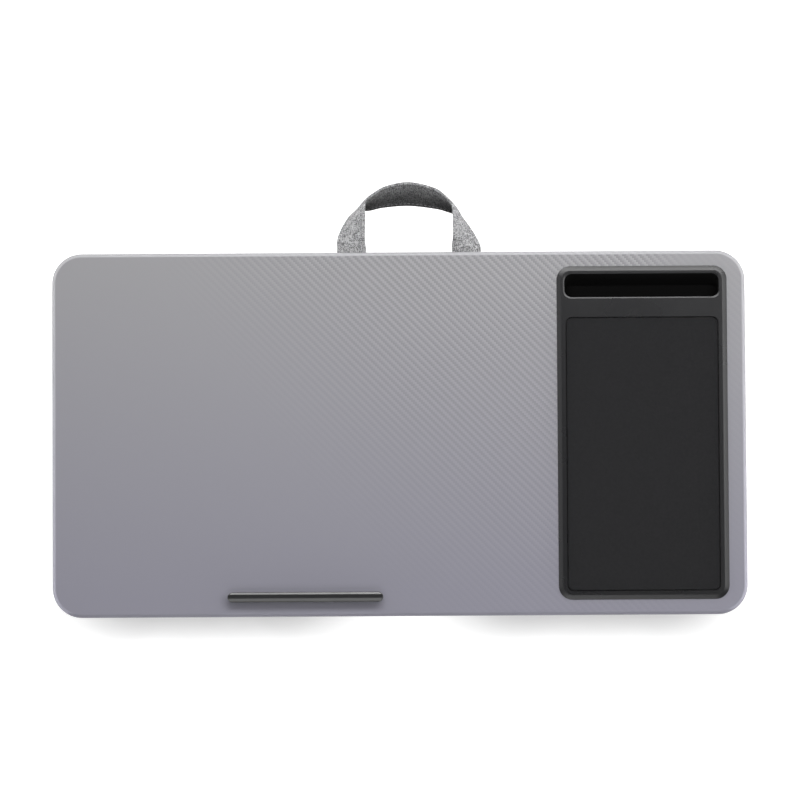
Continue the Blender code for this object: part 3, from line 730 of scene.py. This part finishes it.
# Ledge: a glossy black moulded bar with rounded ends, which stops a computer from sliding
# off. Its top has a chamfer at the back, a flat and a front that falls away. Three pegs
# hold it, screwed from under the board.
ledge_round_run = 0.0004
ledge_round_rise = 0.0005
ledge_round_steps = 5
ledge_back_chamfer = 0.0021
ledge_back_slope = math.tan(math.radians(17))
ledge_flat = 0.0020
ledge_front_fall = 0.0010
ledge_front_curve = 1.7
ledge_slices = 21
ledge_depth = ledge_high.y - ledge_low.y
ledge_end_radius = ledge_depth / 2 - 0.00005
bar_z = wrap_high.z + fit_gap
bar_foot = 0.001
ledge = add_rounded_block(
    "stop_ledge",
    (ledge_low.x, ledge_low.y, bar_z),
    (ledge_high.x, ledge_high.y, ledge_high.z - ledge_round_rise),
    ledge_end_radius, steps=16,
)
pick(ledge, "FACE", is_at(ledge_high.z - ledge_round_rise))
for step in range(ledge_round_steps):
    low_turn = math.pi / 2 * step / ledge_round_steps
    high_turn = math.pi / 2 * (step + 1) / ledge_round_steps
    bpy.ops.mesh.inset(
        thickness=ledge_round_run * (math.cos(low_turn) - math.cos(high_turn)),
        depth=ledge_round_rise * (math.sin(high_turn) - math.sin(low_turn)),
    )
for number in range(1, ledge_slices):
    bpy.ops.mesh.select_all(action="SELECT")
    bpy.ops.mesh.bisect(plane_co=(0, ledge_high.y - ledge_depth * number / ledge_slices, 0),
                        plane_no=(0, 1, 0))
shape = bmesh.from_edit_mesh(ledge.data)
for vertex in shape.verts:
    from_back = ledge_high.y - vertex.co.y
    if vertex.co.z < bar_z + bar_foot:
        continue
    if from_back < ledge_back_chamfer:
        vertex.co.z -= (ledge_back_chamfer - from_back) * ledge_back_slope
    in_front = from_back - ledge_back_chamfer - ledge_flat
    if in_front > 0:
        front_run = ledge_depth - ledge_back_chamfer - ledge_flat
        vertex.co.z -= ledge_front_fall * (in_front / front_run) ** ledge_front_curve
bmesh.update_edit_mesh(ledge.data)
peg_top = bar_z + 0.002
for step in (-1, 0, 1):
    deselect()
    bpy.ops.mesh.primitive_cylinder_add(
        vertices=peg_sides, radius=peg_radius, depth=peg_top - ledge_low.z,
        location=(ledge_centre.x + step * peg_spacing, ledge_centre.y,
                  (peg_top + ledge_low.z) / 2),
    )
    combine(ledge, bpy.context.object, "UNION")
smooth(ledge)

# Polished ABS mirrors the lamps a little more than plain plastic does, in soft waves.
waves_per_metre = 60.0
gloss_black, tree, shader = new_material("black_ABS_polished", "#2E2E2F", roughness=0.18,
                                         ior=1.57)
waves = add_noise(tree, waves_per_metre, detail=1.0)
gloss = remap(tree, waves, (0.0, 1.0), (0.12, 0.20))
tree.links.new(gloss.outputs[0], shader.inputs["Roughness"])
emboss(tree, shader, waves, depth=0.00005)
ledge.data.materials.append(gloss_black)
ride_root(ledge, "gloss_plastic", "device_ledge")


# Base panel: 4 mm hardboard, dark brown, smooth on the side that faces down. It is the CAD
# piece, screwed to the core. Its screws and the strap's plates are zinc-plated steel.
hardboard = add_pressed_fibre("hardboard_smooth", "#5B4130", "#4A3324", 0.0009)
dress(hardboard, "base_panel")
spangle_size = 0.0012
zinc, tree, shader = new_material("zinc_plated_steel", "#B9BCC2", roughness=0.34,
                                  metallic=1.0)
spangle = add_cells(tree, spangle_size)
gloss = remap(tree, spangle, (0.0, 1.0), (0.26, 0.42))
tint = mix_colours(tree, spangle, "#C4C7CC", "#A9ACB2")
tree.links.new(gloss.outputs[0], shader.inputs["Roughness"])
tree.links.new(tint, shader.inputs["Base Color"])
steel_nodes = [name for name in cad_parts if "screw" in name or "plate" in name]
dress(zinc, *steel_nodes)


# Strap handle: a strip of heather grey cloth, folded to 24.5 mm and sewn along both edges.
# Its ends lie flat in notches under the board, and the loop between them stands half on its
# edge behind the board. It is one strip.
strap_width = 0.0245
strap_thickness = 0.0022
strap_middle = 0.0092
strap_half_span = 0.0486
loop_reach = 0.0607
loop_droop = 0.003
seam_reach = 0.0025
strap_height = 0.0535
tab_end_y = 0.0838
board_back = wrap_high.y

# Places along the loop: how far from its middle, as a share of the half span, and behind
# the board, as a share of the reach. Then the heading of its width and its tilt, in degrees.
loop_places = (
    (-1.006, 0.205, 0, 17), (-0.964, 0.376, 0, 38), (-0.903, 0.530, 3, 57),
    (-0.833, 0.632, 22, 72), (-0.775, 0.680, 58, 69), (-0.640, 0.722, 74, 58),
    (-0.420, 0.790, 80, 47), (0.0, 0.829, 90, 41), (0.450, 0.768, 98, 48),
    (0.650, 0.692, 105, 59), (0.790, 0.604, 126, 69), (0.850, 0.508, 168, 70),
    (0.915, 0.372, 180, 55), (0.975, 0.205, 180, 32),
)
left_shoulder = loop_places[4]
right_shoulder = loop_places[10]


def loop_place(across, out, heading, tilt):
    """The middle of the strap at one place, and the way that its width points."""
    behind = loop_reach * out
    droop = loop_droop * ((behind - seam_reach) / loop_reach) ** 2
    centre = Vector((strap_middle + strap_half_span * across, board_back + behind,
                     strap_height - droop))
    yaw, rise = math.radians(heading), math.radians(tilt)
    width = Vector((math.cos(rise) * math.cos(yaw), math.cos(rise) * math.sin(yaw),
                    math.sin(rise)))
    return centre, width


def curved(before, low, high, after, share):
    """A smooth curve through low and high, at a share of the way between them."""
    straight = (high - low) * share + low
    bend_low = (low * 2 - before - high) * share * (1 - share) ** 2
    bend_high = (high * 2 - low - after) * share**2 * (1 - share)
    return straight + (bend_low + bend_high) / 2


curve_steps = 16
tab_steps = 24
seam_share = seam_reach / loop_reach
rows = [loop_place(-1, seam_share, 0, 0)]
rows += [loop_place(*place) for place in loop_places]
rows += [loop_place(1, seam_share, 180, 0)]
run_out = Vector((0, loop_reach * loop_places[0][1], 0))
padded_rows = [(rows[0][0] - run_out, rows[0][1]), *rows, (rows[-1][0] - run_out, rows[-1][1])]
loop_path = []
for index in range(1, len(padded_rows) - 2):
    four = padded_rows[index - 1 : index + 3]
    for step in range(curve_steps):
        loop_path.append([curved(*column, step / curve_steps) for column in zip(*four)])
loop_path.append(list(rows[-1]))
tab_run = rows[0][0].y - tab_end_y
left_tab = [
    (rows[0][0] - Vector((0, tab_run * (1 - step / tab_steps), 0)), rows[0][1])
    for step in range(tab_steps)
]
right_tab = [
    (rows[-1][0] - Vector((0, tab_run * step / tab_steps, 0)), rows[-1][1])
    for step in range(1, tab_steps + 1)
]
strap_path = [*left_tab, *loop_path, *right_tab]
strap_runs = [0.0]
for before, after in zip(strap_path, strap_path[1:]):
    strap_runs.append(strap_runs[-1] + (after[0] - before[0]).length)
strap_length = strap_runs[-1]


# The cloth bows out across its width at both shoulders, where the strap turns on to its
# edge, and in its middle. A bow is its place along the strap, its rise and its reach.
def run_near(place):
    """How far along the strap it comes nearest to this place of the loop."""
    target = loop_place(*place)[0]
    return min(zip(strap_runs, strap_path), key=lambda item: (item[1][0] - target).length)[0]


strap_bows = (
    (run_near(left_shoulder), 0.0012, 0.012),
    (run_near(right_shoulder), 0.0020, 0.012),
    (strap_length / 2, 0.0010, 0.020),
)


def on_strap(run, across, height):
    """A place on the bent strap: so far along it, across it and out of its outer face."""
    run = min(max(run, 0.0), strap_length)
    index = 1
    while index < len(strap_runs) - 1 and strap_runs[index] < run:
        index += 1
    span = strap_runs[index] - strap_runs[index - 1]
    share = (run - strap_runs[index - 1]) / span
    low, high = strap_path[index - 1], strap_path[index]
    centre = low[0].lerp(high[0], share)
    before, after = strap_path[max(index - 3, 0)], strap_path[min(index + 2, len(strap_path) - 1)]
    along = (after[0] - before[0]).normalized()
    width = low[1].lerp(high[1], share).normalized()
    outward = width.cross(along).normalized()
    arch = 1 - (2 * across / strap_width) ** 2
    bow = sum(
        size * math.exp(-(((run - place) / reach) ** 2)) for place, size, reach in strap_bows
    )
    return centre + width * across + outward * (height + bow * arch)


# The strip is laid out flat as a grid that runs round its section: rounded edges, a dent at
# each sewn line, 2.6 mm from the edge, and cloth that puckers a little between stitches.
stitch_inset = 0.0026
stitch_pitch = 0.0034
edge_round = strap_thickness * 0.7
dent_depth = 0.00042
dent_width = 0.0007
pull_mean = 0.75
pull_swing = 0.25
pucker_rise = 0.00005
pucker_reach = 0.004
pucker_edge = 0.0008
pucker_drift = 310
section_steps = 26
row_pitch = 0.0013


def strap_half_thickness(run, across):
    """Half of the strap's thickness at a place, with its rounded edges and sewn dents."""
    edge = strap_width / 2 - abs(across)
    body = strap_thickness / 2
    if edge < edge_round:
        body *= math.sqrt(max(0.0, 1 - ((edge_round - edge) / edge_round) ** 2))
    dent = math.exp(-(((edge - stitch_inset) / dent_width) ** 2))
    stitch_turn = math.tau * run / stitch_pitch
    pull = pull_mean + pull_swing * math.cos(stitch_turn)
    pucker = pucker_rise * math.sin(stitch_turn + 2.0 * math.sin(run * pucker_drift))
    fade = max(0.0, 1 - abs(edge - stitch_inset) / pucker_reach)
    return body - dent_depth * dent * pull + pucker * fade * (edge > pucker_edge)


def is_any(item):
    """A test that everything passes."""
    return True


section = [-math.cos(math.pi * step / section_steps) for step in range(section_steps + 1)]
deselect()
bpy.ops.mesh.primitive_grid_add(
    x_subdivisions=2 * section_steps, y_subdivisions=round(strap_length / row_pitch),
    size=1, location=(0, 0, 0)
)
strap = bpy.context.object
strap.name = strap.data.name = "strap_handle"
flat_places = []
for vertex in strap.data.vertices:
    turn = (vertex.co.x + 0.5) * 2
    run = (vertex.co.y + 0.5) * strap_length
    outer = turn <= 1
    across = section[round((turn if outer else 2 - turn) * section_steps)] * strap_width / 2
    flat_places.append((run, across if outer else across + strap_width))
    out = strap_half_thickness(run, across)
    vertex.co = on_strap(run, across, out if outer else -out)
write_flat_places(strap.data, flat_places)
pick(strap, "VERT", is_any)
bpy.ops.mesh.remove_doubles(threshold=0.00001)
bpy.ops.mesh.select_all(action="DESELECT")
bpy.ops.mesh.select_non_manifold()
bpy.ops.mesh.fill()
bpy.ops.mesh.select_all(action="SELECT")
bpy.ops.mesh.normals_make_consistent(inside=False)
smooth(strap, degrees=60)


# Heather cloth: a plain weave of yarns that are each spun from light and dark fibre, so
# that every yarn shows short darker and lighter stretches. Each stretch draws its grey: the
# key keeps the cross yarns' draws apart, and the shares place the three greys in the draw.
weft_key = 500.0
heather_shares = (0.12, 0.45, 0.95)


def add_heather(name, light, middle, dark, yarn, stretch, lift):
    """A plain weave from the flat place: its three greys, yarn pitch and stretch length."""
    material, tree, shader = new_material(name, middle, roughness=0.92)
    shader.inputs["Sheen Weight"].default_value = 0.1
    shader.inputs["Sheen Roughness"].default_value = 0.5
    uv = add(tree, "ShaderNodeUVMap", uv_map="flat_place")
    in_yarns = scale_up(tree, uv, 1 / yarn)
    split = add(tree, "ShaderNodeSeparateXYZ", {0: in_yarns})
    values, crowns = [], []
    for own, other, key in (("X", "Y", 0.0), ("Y", "X", weft_key)):
        index = calculate(tree, "FLOOR", split.outputs[other])
        index = calculate(tree, "ADD", index, key)
        start = add(tree, "ShaderNodeTexWhiteNoise", {"W": index}, noise_dimensions="1D")
        run = calculate(tree, "MULTIPLY_ADD", split.outputs[own], yarn / stretch,
                        start.outputs["Value"])
        both = add(tree, "ShaderNodeCombineXYZ", {0: index, 1: calculate(tree, "FLOOR", run)})
        fibre = add(tree, "ShaderNodeTexWhiteNoise", {"Vector": both}, noise_dimensions="2D")
        values.append(fibre.outputs["Value"])
        beside = calculate(tree, "MULTIPLY", split.outputs[other], math.pi)
        crowns.append(calculate(tree, "ABSOLUTE", calculate(tree, "SINE", beside)))
    checks = add(tree, "ShaderNodeTexChecker", {"Vector": in_yarns, "Scale": 1.0,
                                                "Color1": (1, 1, 1, 1), "Color2": (0, 0, 0, 1)})
    over = checks.outputs["Fac"]
    shade = add(tree, "ShaderNodeMix", {"Factor": over, "A": values[0], "B": values[1]})
    height = add(tree, "ShaderNodeMix", {"Factor": over, "A": crowns[0], "B": crowns[1]})
    ramp = add(tree, "ShaderNodeValToRGB", {0: shade})
    stops = ramp.color_ramp.elements
    stops.new(0.5)
    for stop, share, colour in zip(stops, heather_shares, (dark, middle, light)):
        stop.position = share
        stop.color = srgb(colour)
    tree.links.new(ramp.outputs[0], shader.inputs["Base Color"])
    emboss(tree, shader, height, lift)
    return material


# The strap's yarns are drawn 0.8 mm apart, coarser than real, so that the flecks, 1 to
# 1.6 mm long in the photograph, show at this distance. The reverse is painted darker than
# the outer face, as painted shade that deepens towards its lower edge, but for the hem along
# its upper edge; a thin painted shade line lies where that hem is sewn down.
strap_cloth = add_heather("heather_cloth_strap", "#CECECF", "#A2A2A4", "#686869",
                          yarn=0.0008, stretch=0.0020, lift=0.00012)
upper_hem = 1.5 * strap_width - stitch_inset
reverse_starts = strap_width * 0.75
reverse_painted_shade_levels = (0.16, 0.55)
seam_line_run = (0.0003, 0.0008)
seam_line_shade = 0.45
tree = strap_cloth.node_tree
shader = tree.nodes["Principled BSDF"]
face_colour = shader.inputs["Base Color"].links[0].from_socket
uv = add(tree, "ShaderNodeUVMap", uv_map="flat_place")
lying = add(tree, "ShaderNodeSeparateXYZ", {0: uv})
outer_face = calculate(tree, "LESS_THAN", lying.outputs["Y"], strap_width / 2)
hem = calculate(tree, "GREATER_THAN", lying.outputs["Y"], upper_hem)
unshaded_parts = calculate(tree, "MAXIMUM", outer_face, hem)
# Painted shade on the reverse, deepest at its lower edge.
reverse_painted_shade = remap(tree, lying.outputs["Y"], (reverse_starts, upper_hem), reverse_painted_shade_levels,
                "SMOOTHSTEP")
# Painted shade along the hem's sewn line.
seam_gap = calculate(tree, "SUBTRACT", lying.outputs["Y"], upper_hem)
seam_gap = calculate(tree, "ABSOLUTE", seam_gap)
seam_painted_shade = remap(tree, seam_gap, seam_line_run, (seam_line_shade, 1.0), "SMOOTHSTEP")
strap_painted_shade = add(tree, "ShaderNodeMix", {"Factor": unshaded_parts, "A": reverse_painted_shade, "B": 1.0})
strap_painted_shade = calculate(tree, "MULTIPLY", strap_painted_shade, seam_painted_shade)
shown = scale_up(tree, face_colour, strap_painted_shade)
tree.links.new(shown.outputs[0], shader.inputs["Base Color"])
strap.data.materials.clear()
strap.data.materials.append(strap_cloth)
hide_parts("handle_strap", "strap_tab_left", "strap_tab_right")
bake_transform(strap)

# Stitches of grey thread, 2.5 mm long, along both edges and on both faces.
stitch_half_length = 0.00125
stitch_half_width = 0.00022
stitch_half_height = 0.00020
stitch_lift = 0.00006
stitch_arch = 0.00010
first_stitch = 0.006
deselect()
bpy.ops.mesh.primitive_uv_sphere_add(segments=8, ring_count=5, radius=1)
pattern = bpy.context.object
knot = [vertex.co.copy() for vertex in pattern.data.vertices]
knot_faces = [list(face.vertices) for face in pattern.data.polygons]
bpy.data.objects.remove(pattern, do_unlink=True)
points, faces = [], []
for number in range(round((strap_length - 2 * first_stitch) / stitch_pitch)):
    middle_run = first_stitch + (number + 0.5) * stitch_pitch
    for edge_side in (-1, 1):
        line = edge_side * (strap_width / 2 - stitch_inset)
        bed = strap_half_thickness(middle_run, line)
        for face_side in (-1, 1):
            start = len(points)
            for co in knot:
                run = middle_run + co.z * stitch_half_length
                across = line + co.y * stitch_half_width
                height = face_side * (bed + stitch_lift + co.x * face_side * stitch_half_height
                                      + stitch_arch * (1 - co.z * co.z))
                points.append(on_strap(run, across, height))
            faces += [[start + corner for corner in face] for face in knot_faces]
mesh = bpy.data.meshes.new("strap_stitching")
mesh.from_pydata(points, [], faces)
stitching = bpy.data.objects.new("strap_stitching", mesh)
bpy.context.scene.collection.objects.link(stitching)
pick(stitching, "VERT", is_any)
bpy.ops.mesh.normals_make_consistent(inside=False)
smooth(stitching, degrees=80)
twists_per_metre = 900.0
thread, tree, shader = new_material("polyester_thread_grey", "#858587", roughness=0.6)
place = add(tree, "ShaderNodeTexCoord")
twist = add(tree, "ShaderNodeTexWave", {"Vector": place.outputs["Object"],
                                        "Scale": twists_per_metre, "Distortion": 2.0})
tint = mix_colours(tree, twist.outputs["Fac"], "#6E6E70", "#98989A")
tree.links.new(tint, shader.inputs["Base Color"])
stitching.data.materials.append(thread)
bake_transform(stitching)


# Liner: a sheet of black non-woven cloth stapled under the panel, over the top of both
# bolsters. It shows only in the narrow gap under the board.
liner_low, liner_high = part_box("cushion_liner")
liner_corner = 0.0245
liner_edge = 0.0003
liner = add_rounded_block("liner_sheet", liner_low, liner_high, liner_corner)
for height in (liner_low.z, liner_high.z):
    pick(liner, "EDGE", is_at(height))
    bpy.ops.mesh.bevel(offset=liner_edge, segments=2, affect="EDGES")
smooth(liner)
dimple_pitch = 0.0016
fibre_width = 0.0008
non_woven, tree, shader = new_material("non_woven_black", "#2A2A2B", roughness=0.95)
fibres = add_noise(tree, 1 / fibre_width, detail=4.0)
tint = mix_colours(tree, fibres, "#222223", "#363637")
tree.links.new(tint, shader.inputs["Base Color"])
emboss(tree, shader, add_cells(tree, dimple_pitch, randomness=0.35), depth=0.0002)
liner.data.materials.append(non_woven)
ride_root(liner, "liner_cloth", "cushion_liner")


# Bolsters: two sewn cloth covers filled with loose fibre, open to the air channel between
# them. Each is blown up from a block that is a little smaller, held along its top, where it
# is sewn to the liner, and rests flat on what the desk stands on.
cushion_cloth = add_heather("heather_cloth_cushion", "#BEBEC0", "#8E8E91", "#4C4C4F",
                            yarn=0.0009, stretch=0.0026, lift=0.00015)
bolster_corner = 0.027
bolster_foot = 0.0012
bolster_top_gap = 0.0002
bolster_grid = 0.005
sewn_depth = 0.003
puff_cap = 0.008
puff_room = 0.005
puff_frames = 20
piping_radius = 0.0012
piping_height = 0.0105
piping_step = 0.003
outline_steps = 12
seam_radius = 0.0007
seam_steps = 20
ray_start = 0.03
ray_length = 0.08


def add_flat_places(piece):
    """Gives a sewn piece its weave's place: a cloth is cut and sewn where it turns."""
    pick(piece, "FACE", is_any)
    bpy.ops.uv.cube_project(cube_size=1.0, scale_to_bounds=False)
    bpy.ops.object.mode_set(mode="OBJECT")
    piece.data.uv_layers[0].name = "flat_place"


def add_cloth_cords(name, paths, radius, closed, sides=8):
    """Thin cords of rolled cloth along paths of (place, outward) pairs, as one piece."""
    points, faces, places = [], [], []
    for path in paths:
        first, run, count = len(points), 0.0, len(path)
        for index, (here, outward) in enumerate(path):
            before = path[index - 1][0] if closed or index else here
            after = path[(index + 1) % count][0] if closed or index + 1 < count else here
            along = (after - before).normalized()
            up = along.cross(outward).normalized()
            out = up.cross(along)
            run += (here - before).length if index else 0.0
            for step in range(sides):
                turn = math.tau * step / sides
                points.append(here + (out * math.cos(turn) + up * math.sin(turn)) * radius)
                places.append((run, turn * radius))
        for index in range(count if closed else count - 1):
            low, high = first + index * sides, first + (index + 1) % count * sides
            for step in range(sides):
                beside = (step + 1) % sides
                faces.append((low + step, low + beside, high + beside, high + step))
        if not closed:
            faces.append(tuple(range(first + sides - 1, first - 1, -1)))
            faces.append(tuple(range(len(points) - sides, len(points))))
    mesh = bpy.data.meshes.new(name)
    mesh.from_pydata(points, [], faces)
    piece = bpy.data.objects.new(name, mesh)
    bpy.context.scene.collection.objects.link(piece)
    write_flat_places(mesh, places)
    pick(piece, "FACE", is_any)
    bpy.ops.mesh.normals_make_consistent(inside=False)
    smooth(piece, degrees=60)
    return piece


def settled(path, closed, passes=3):
    """The path with its small kinks averaged out."""
    for _ in range(passes):
        eased = []
        for index, here in enumerate(path):
            before, after = path[index - 1], path[(index + 1) % len(path)]
            if closed or 0 < index < len(path) - 1:
                here = [(a + b * 2 + c) / 4 for a, b, c in zip(before, here, after)]
            eased.append(here)
        path = eased
    return path


def puff_up(cover, top):
    """Blows up a sewn cover with a little pressure inside, held along its sewn top."""
    rest = [vertex.co.copy() for vertex in cover.data.vertices]
    sewn = cover.vertex_groups.new(name="sewn")
    for vertex in cover.data.vertices:
        if vertex.co.z > top - sewn_depth:
            sewn.add([vertex.index], 1.0, "REPLACE")
    cloth = cover.modifiers.new("cloth", "CLOTH")
    cloth.settings.quality = 5
    cloth.settings.mass = 0.25
    cloth.settings.use_pressure = True
    cloth.settings.uniform_pressure_force = 4.0
    cloth.settings.tension_stiffness = 12
    cloth.settings.compression_stiffness = 12
    cloth.settings.bending_stiffness = 0.4
    cloth.settings.shrink_min = -0.02
    cloth.settings.vertex_group_mass = "sewn"
    cloth.settings.effector_weights.gravity = 0.0
    cloth.collision_settings.use_collision = False
    cloth.point_cache.frame_start = 1
    cloth.point_cache.frame_end = puff_frames
    for number in range(1, puff_frames + 1):
        bpy.context.scene.frame_set(number)
    select_only(cover)
    bpy.ops.object.modifier_apply(modifier=cloth.name)
    bpy.context.scene.frame_set(1)
    for vertex, start in zip(cover.data.vertices, rest):
        moved = vertex.co - start
        if moved.length > puff_cap:
            vertex.co = start + moved.normalized() * puff_cap
    cover.vertex_groups.clear()


def flatten(piece, low, high):
    """Presses flat what stands past these two heights."""
    for vertex in piece.data.vertices:
        vertex.co.z = min(max(vertex.co.z, low), high)


def on_skin(skin, place, outward, height):
    """Where a line from outside meets the puffed cloth, and the way out from there."""
    start = Vector((place.x, place.y, height)) + outward * ray_start
    spot, facing, _, _ = skin.ray_cast(start, -outward, ray_length)
    return spot, facing


for side in ("left", "right"):
    cover_low, cover_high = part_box(f"{side}_bolster_cover")
    block_top = cover_high.z - bolster_top_gap
    bolster = add_rounded_block(
        f"{side}_bolster",
        (cover_low.x + puff_room, cover_low.y + puff_room, bolster_foot),
        (cover_high.x - puff_room, cover_high.y - puff_room, block_top),
        bolster_corner, steps=10,
    )
    for height, fold, steps in ((bolster_foot, 0.016, 6), (block_top, 0.005, 3)):
        pick(bolster, "EDGE", is_at(height))
        bpy.ops.mesh.bevel(offset=fold, segments=steps, affect="EDGES")
    apply_step(bolster, "REMESH", mode="VOXEL", voxel_size=bolster_grid)
    puff_up(bolster, cover_high.z)
    flatten(bolster, 0.0, cover_high.z)
    apply_step(bolster, "SUBSURF", levels=1, render_levels=1)
    flatten(bolster, 0.0, cover_high.z)
    add_flat_places(bolster)
    smooth(bolster, degrees=75)
    bolster.data.materials.append(cushion_cloth)
    ride_root(bolster, "cushion_cloth", f"{side}_bolster_cover", f"{side}_bolster_fill")

    # A thin piped seam joins the side panel to the bottom panel, and a plain seam runs down
    # each corner. Both follow the puffed cloth.
    skin = BVHTree.FromObject(bolster, bpy.context.evaluated_depsgraph_get())
    middle = (cover_low + cover_high) / 2
    half = (cover_high - cover_low) / 2
    outline = []
    for side_x, side_y, first_turn in ((1, 1, 0), (-1, 1, 90), (-1, -1, 180), (1, -1, 270)):
        hub = Vector((middle.x + side_x * (half.x - bolster_corner),
                      middle.y + side_y * (half.y - bolster_corner), 0))
        for step in range(outline_steps + 1):
            turn = math.radians(first_turn + 90 * step / outline_steps)
            outward = Vector((math.cos(turn), math.sin(turn), 0))
            outline.append((hub + outward * bolster_corner, outward))
    dense = []
    for (here, one), (there, other) in zip(outline, outline[1:] + outline[:1]):
        steps = max(1, round((there - here).length / piping_step))
        for step in range(steps):
            dense.append((here.lerp(there, step / steps), one.lerp(other, step / steps)))
    piping_path = settled([on_skin(skin, *pair, piping_height) for pair in dense], True)
    piping = add_cloth_cords(f"{side}_bolster_piping", [piping_path], piping_radius, True)
    corner_paths = []
    seam_rise = cover_high.z - sewn_depth - piping_height
    for corner in range(4):
        place, outward = outline[(outline_steps + 1) * corner + outline_steps // 2]
        rises = [piping_height + seam_rise * step / seam_steps for step in range(seam_steps + 1)]
        corner_path = [on_skin(skin, place, outward, rise) for rise in rises]
        corner_paths.append(settled(corner_path, False))
    corner_seams = add_cloth_cords(f"{side}_bolster_seams", corner_paths, seam_radius, False)
    for cord in (piping, corner_seams):
        cord.data.materials.append(cushion_cloth)
        ride_root(cord, "cushion_cloth")


# Channel cloth: the same cloth, stretched flat between the bolsters as the roof of the air
# channel, and sewn in along both sides.
channel_low, channel_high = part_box("channel_panel")
channel_corner = 0.002
channel = add_rounded_block("channel_cloth", channel_low, channel_high, channel_corner,
                            steps=3)
smooth(channel)
add_flat_places(channel)
channel.data.materials.append(cushion_cloth)
ride_root(channel, "cushion_cloth", "channel_panel")


# Welt: a 3.4 mm cord covered in the cushion's cloth, sewn into the top seam all round.
welt_low, welt_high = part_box("cushion_welt")
welt_radius = (welt_high.z - welt_low.z) / 2
welt_corner = 0.0265
deselect()
bpy.ops.mesh.primitive_plane_add(size=1, location=(welt_low + welt_high) / 2)
welt = bpy.context.object
welt.scale = (welt_high.x - welt_low.x - 2 * welt_radius,
              welt_high.y - welt_low.y - 2 * welt_radius, 1)
bpy.ops.object.transform_apply(location=True, rotation=True, scale=True)
pick(welt, "VERT", is_any)
bpy.ops.mesh.bevel(offset=welt_corner, segments=12, affect="VERTICES")
bpy.ops.mesh.select_all(action="SELECT")
bpy.ops.mesh.delete(type="ONLY_FACE")
bpy.ops.object.mode_set(mode="OBJECT")
bpy.ops.object.convert(target="CURVE")
welt = bpy.context.object
welt.data.bevel_depth = welt_radius
welt.data.bevel_resolution = 3
welt.data.fill_mode = "FULL"
bpy.ops.object.convert(target="MESH")
welt = bpy.context.object
welt.name = welt.data.name = "seam_welt"
pick(welt, "FACE", is_any)
bpy.ops.mesh.normals_make_consistent(inside=False)
add_flat_places(welt)
smooth(welt, degrees=60)
welt.data.materials.clear()
welt.data.materials.append(cushion_cloth)
ride_root(welt, "cushion_cloth", "cushion_welt")
